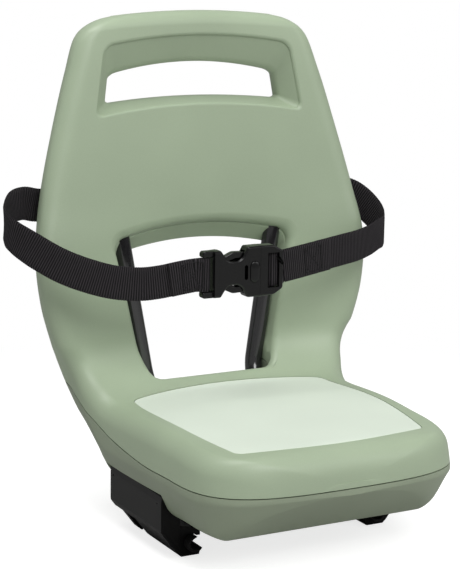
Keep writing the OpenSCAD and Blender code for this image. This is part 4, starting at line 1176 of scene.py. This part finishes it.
class BIKESEAT_OT_stage(bpy.types.Operator):
    """Makes the floor, the soft light and the camera"""

    bl_idname = "bike_seat.stage"
    bl_label = "Stage"

    def execute(self, context):
        scene = context.scene
        cam = bpy.data.cameras.new("camera")
        cam.lens, cam.sensor_width, cam.clip_end = CAMERA_LENS, 36.0, 60.0
        ob = bpy.data.objects.new("camera", cam)
        put(ob, CAMERA_RIGHT, CAMERA_UP, CAMERA_AT)
        scene.collection.objects.link(ob)
        scene.camera = ob

        mat, tree = begin("studio_floor_painted")
        seen = direct_rays(tree)
        pos = add(tree, "ShaderNodeTexCoord").outputs["Object"]
        far = add(tree, "ShaderNodeVectorMath", {0: pos}, operation="LENGTH")
        fade = add(tree, "ShaderNodeMapRange", {"Value": far.outputs["Value"], "From Min": FADE_FROM,
                                                "From Max": FADE_TO}, interpolation_type="SMOOTHSTEP")
        both = add(tree, "ShaderNodeMath", {0: seen, 1: fade.outputs[0]}, operation="MULTIPLY")
        paint = add(tree, "ShaderNodeBsdfDiffuse", {"Color": linear(hex_of(scene.bike_seat_colours.floor))})
        lift = add(tree, "ShaderNodeMath", {0: seen, 1: FLOOR_GLOW}, operation="MULTIPLY")
        glow = add(tree, "ShaderNodeEmission", {"Color": WHITE, "Strength": lift.outputs[0]})
        near = add(tree, "ShaderNodeAddShader", {0: paint.outputs[0], 1: glow.outputs[0]})
        white = add(tree, "ShaderNodeEmission", {"Color": WHITE, "Strength": 1.0})
        close(tree, add(tree, "ShaderNodeMixShader", {0: both.outputs[0], 1: near.outputs[0],
                                                      2: white.outputs[0]}))
        z = float(CAD_BOX[0][2]) * 1000 - 0.3
        n = 40
        g = np.linspace(-1, 1, n) * FLOOR_HALF
        gx, gy = np.meshgrid(g, g, indexing="ij")
        floor = make("studio_floor", np.stack([gx, gy, z + 0 * gx], -1), grid_faces(n, n, False).tolist(),
                     outward=False)
        floor.data.materials.append(mat)

        world = bpy.data.worlds.new("studio")
        scene.world = world
        world.use_nodes = True
        tree = world.node_tree
        tree.nodes.clear()
        soft = add(tree, "ShaderNodeBackground", {"Color": WHITE, "Strength": WORLD_LIGHT})
        white = add(tree, "ShaderNodeBackground", {"Color": WHITE, "Strength": 1.0})
        out = add(tree, "ShaderNodeMixShader", {0: direct_rays(tree), 1: soft.outputs[0],
                                                2: white.outputs[0]})
        add(tree, "ShaderNodeOutputWorld", {"Surface": out.outputs[0]})

        for name, place_at, aim, size, power in (
                ("key_softbox", (-0.1, -2.6, 2.6), (0, 0.05, 0.24), 1.9, 58.0),
                ("fill_softbox", (1.9, -1.8, 1.3), (0, 0.05, 0.2), 1.5, 11.0),
                ("top_softbox", (-0.5, 0.0, 2.3), (0, 0.05, 0.2), 1.2, 25.0)):
            lamp = bpy.data.lights.new(name, "AREA")
            lamp.shape, lamp.size, lamp.energy = "DISK", size, power
            ob = bpy.data.objects.new(name, lamp)
            back = unit(np.array(place_at, float) - np.array(aim, float))
            right = unit(np.cross([0, 0, 1], back))
            put(ob, right, np.cross(back, right), place_at)
            scene.collection.objects.link(ob)
        scene.view_settings.view_transform = "Standard"
        return {"FINISHED"}


OPERATORS = (BIKESEAT_OT_stage, BIKESEAT_OT_shell, BIKESEAT_OT_tub, BIKESEAT_OT_pad, BIKESEAT_OT_tube,
             BIKESEAT_OT_belt, BIKESEAT_OT_buckle, BIKESEAT_OT_hooks, BIKESEAT_OT_fittings)


class BIKESEAT_PT_panel(bpy.types.Panel):
    """Lists the pieces and their sizes and colours"""

    bl_idname = "BIKESEAT_PT_panel"
    bl_label = "Bike seat"
    bl_space_type = "VIEW_3D"
    bl_region_type = "UI"
    bl_category = "Bike seat"

    def draw(self, context):
        for group in (context.scene.bike_seat_colours, context.scene.bike_seat_sizes):
            for key in group.bl_rna.properties.keys():
                if key not in ("rna_type", "name"):
                    self.layout.prop(group, key)
        for op in OPERATORS:
            self.layout.operator(op.bl_idname)


CLASSES = (BikeSeatColours, BikeSeatSizes, *OPERATORS, BIKESEAT_PT_panel)


def register():
    for c in CLASSES:
        bpy.utils.register_class(c)
    bpy.types.Scene.bike_seat_colours = bpy.props.PointerProperty(type=BikeSeatColours)
    bpy.types.Scene.bike_seat_sizes = bpy.props.PointerProperty(type=BikeSeatSizes)


def unregister():
    del bpy.types.Scene.bike_seat_sizes
    del bpy.types.Scene.bike_seat_colours
    for c in reversed(CLASSES):
        bpy.utils.unregister_class(c)


def main():
    """Registers the classes and makes the pieces in order."""
    register()
    seat = bpy.ops.bike_seat
    for op in (seat.stage, seat.shell, seat.tub, seat.pad, seat.tube, seat.belt, seat.buckle, seat.hooks,
               seat.fittings):
        op()


if __name__ == "__main__":
    main()
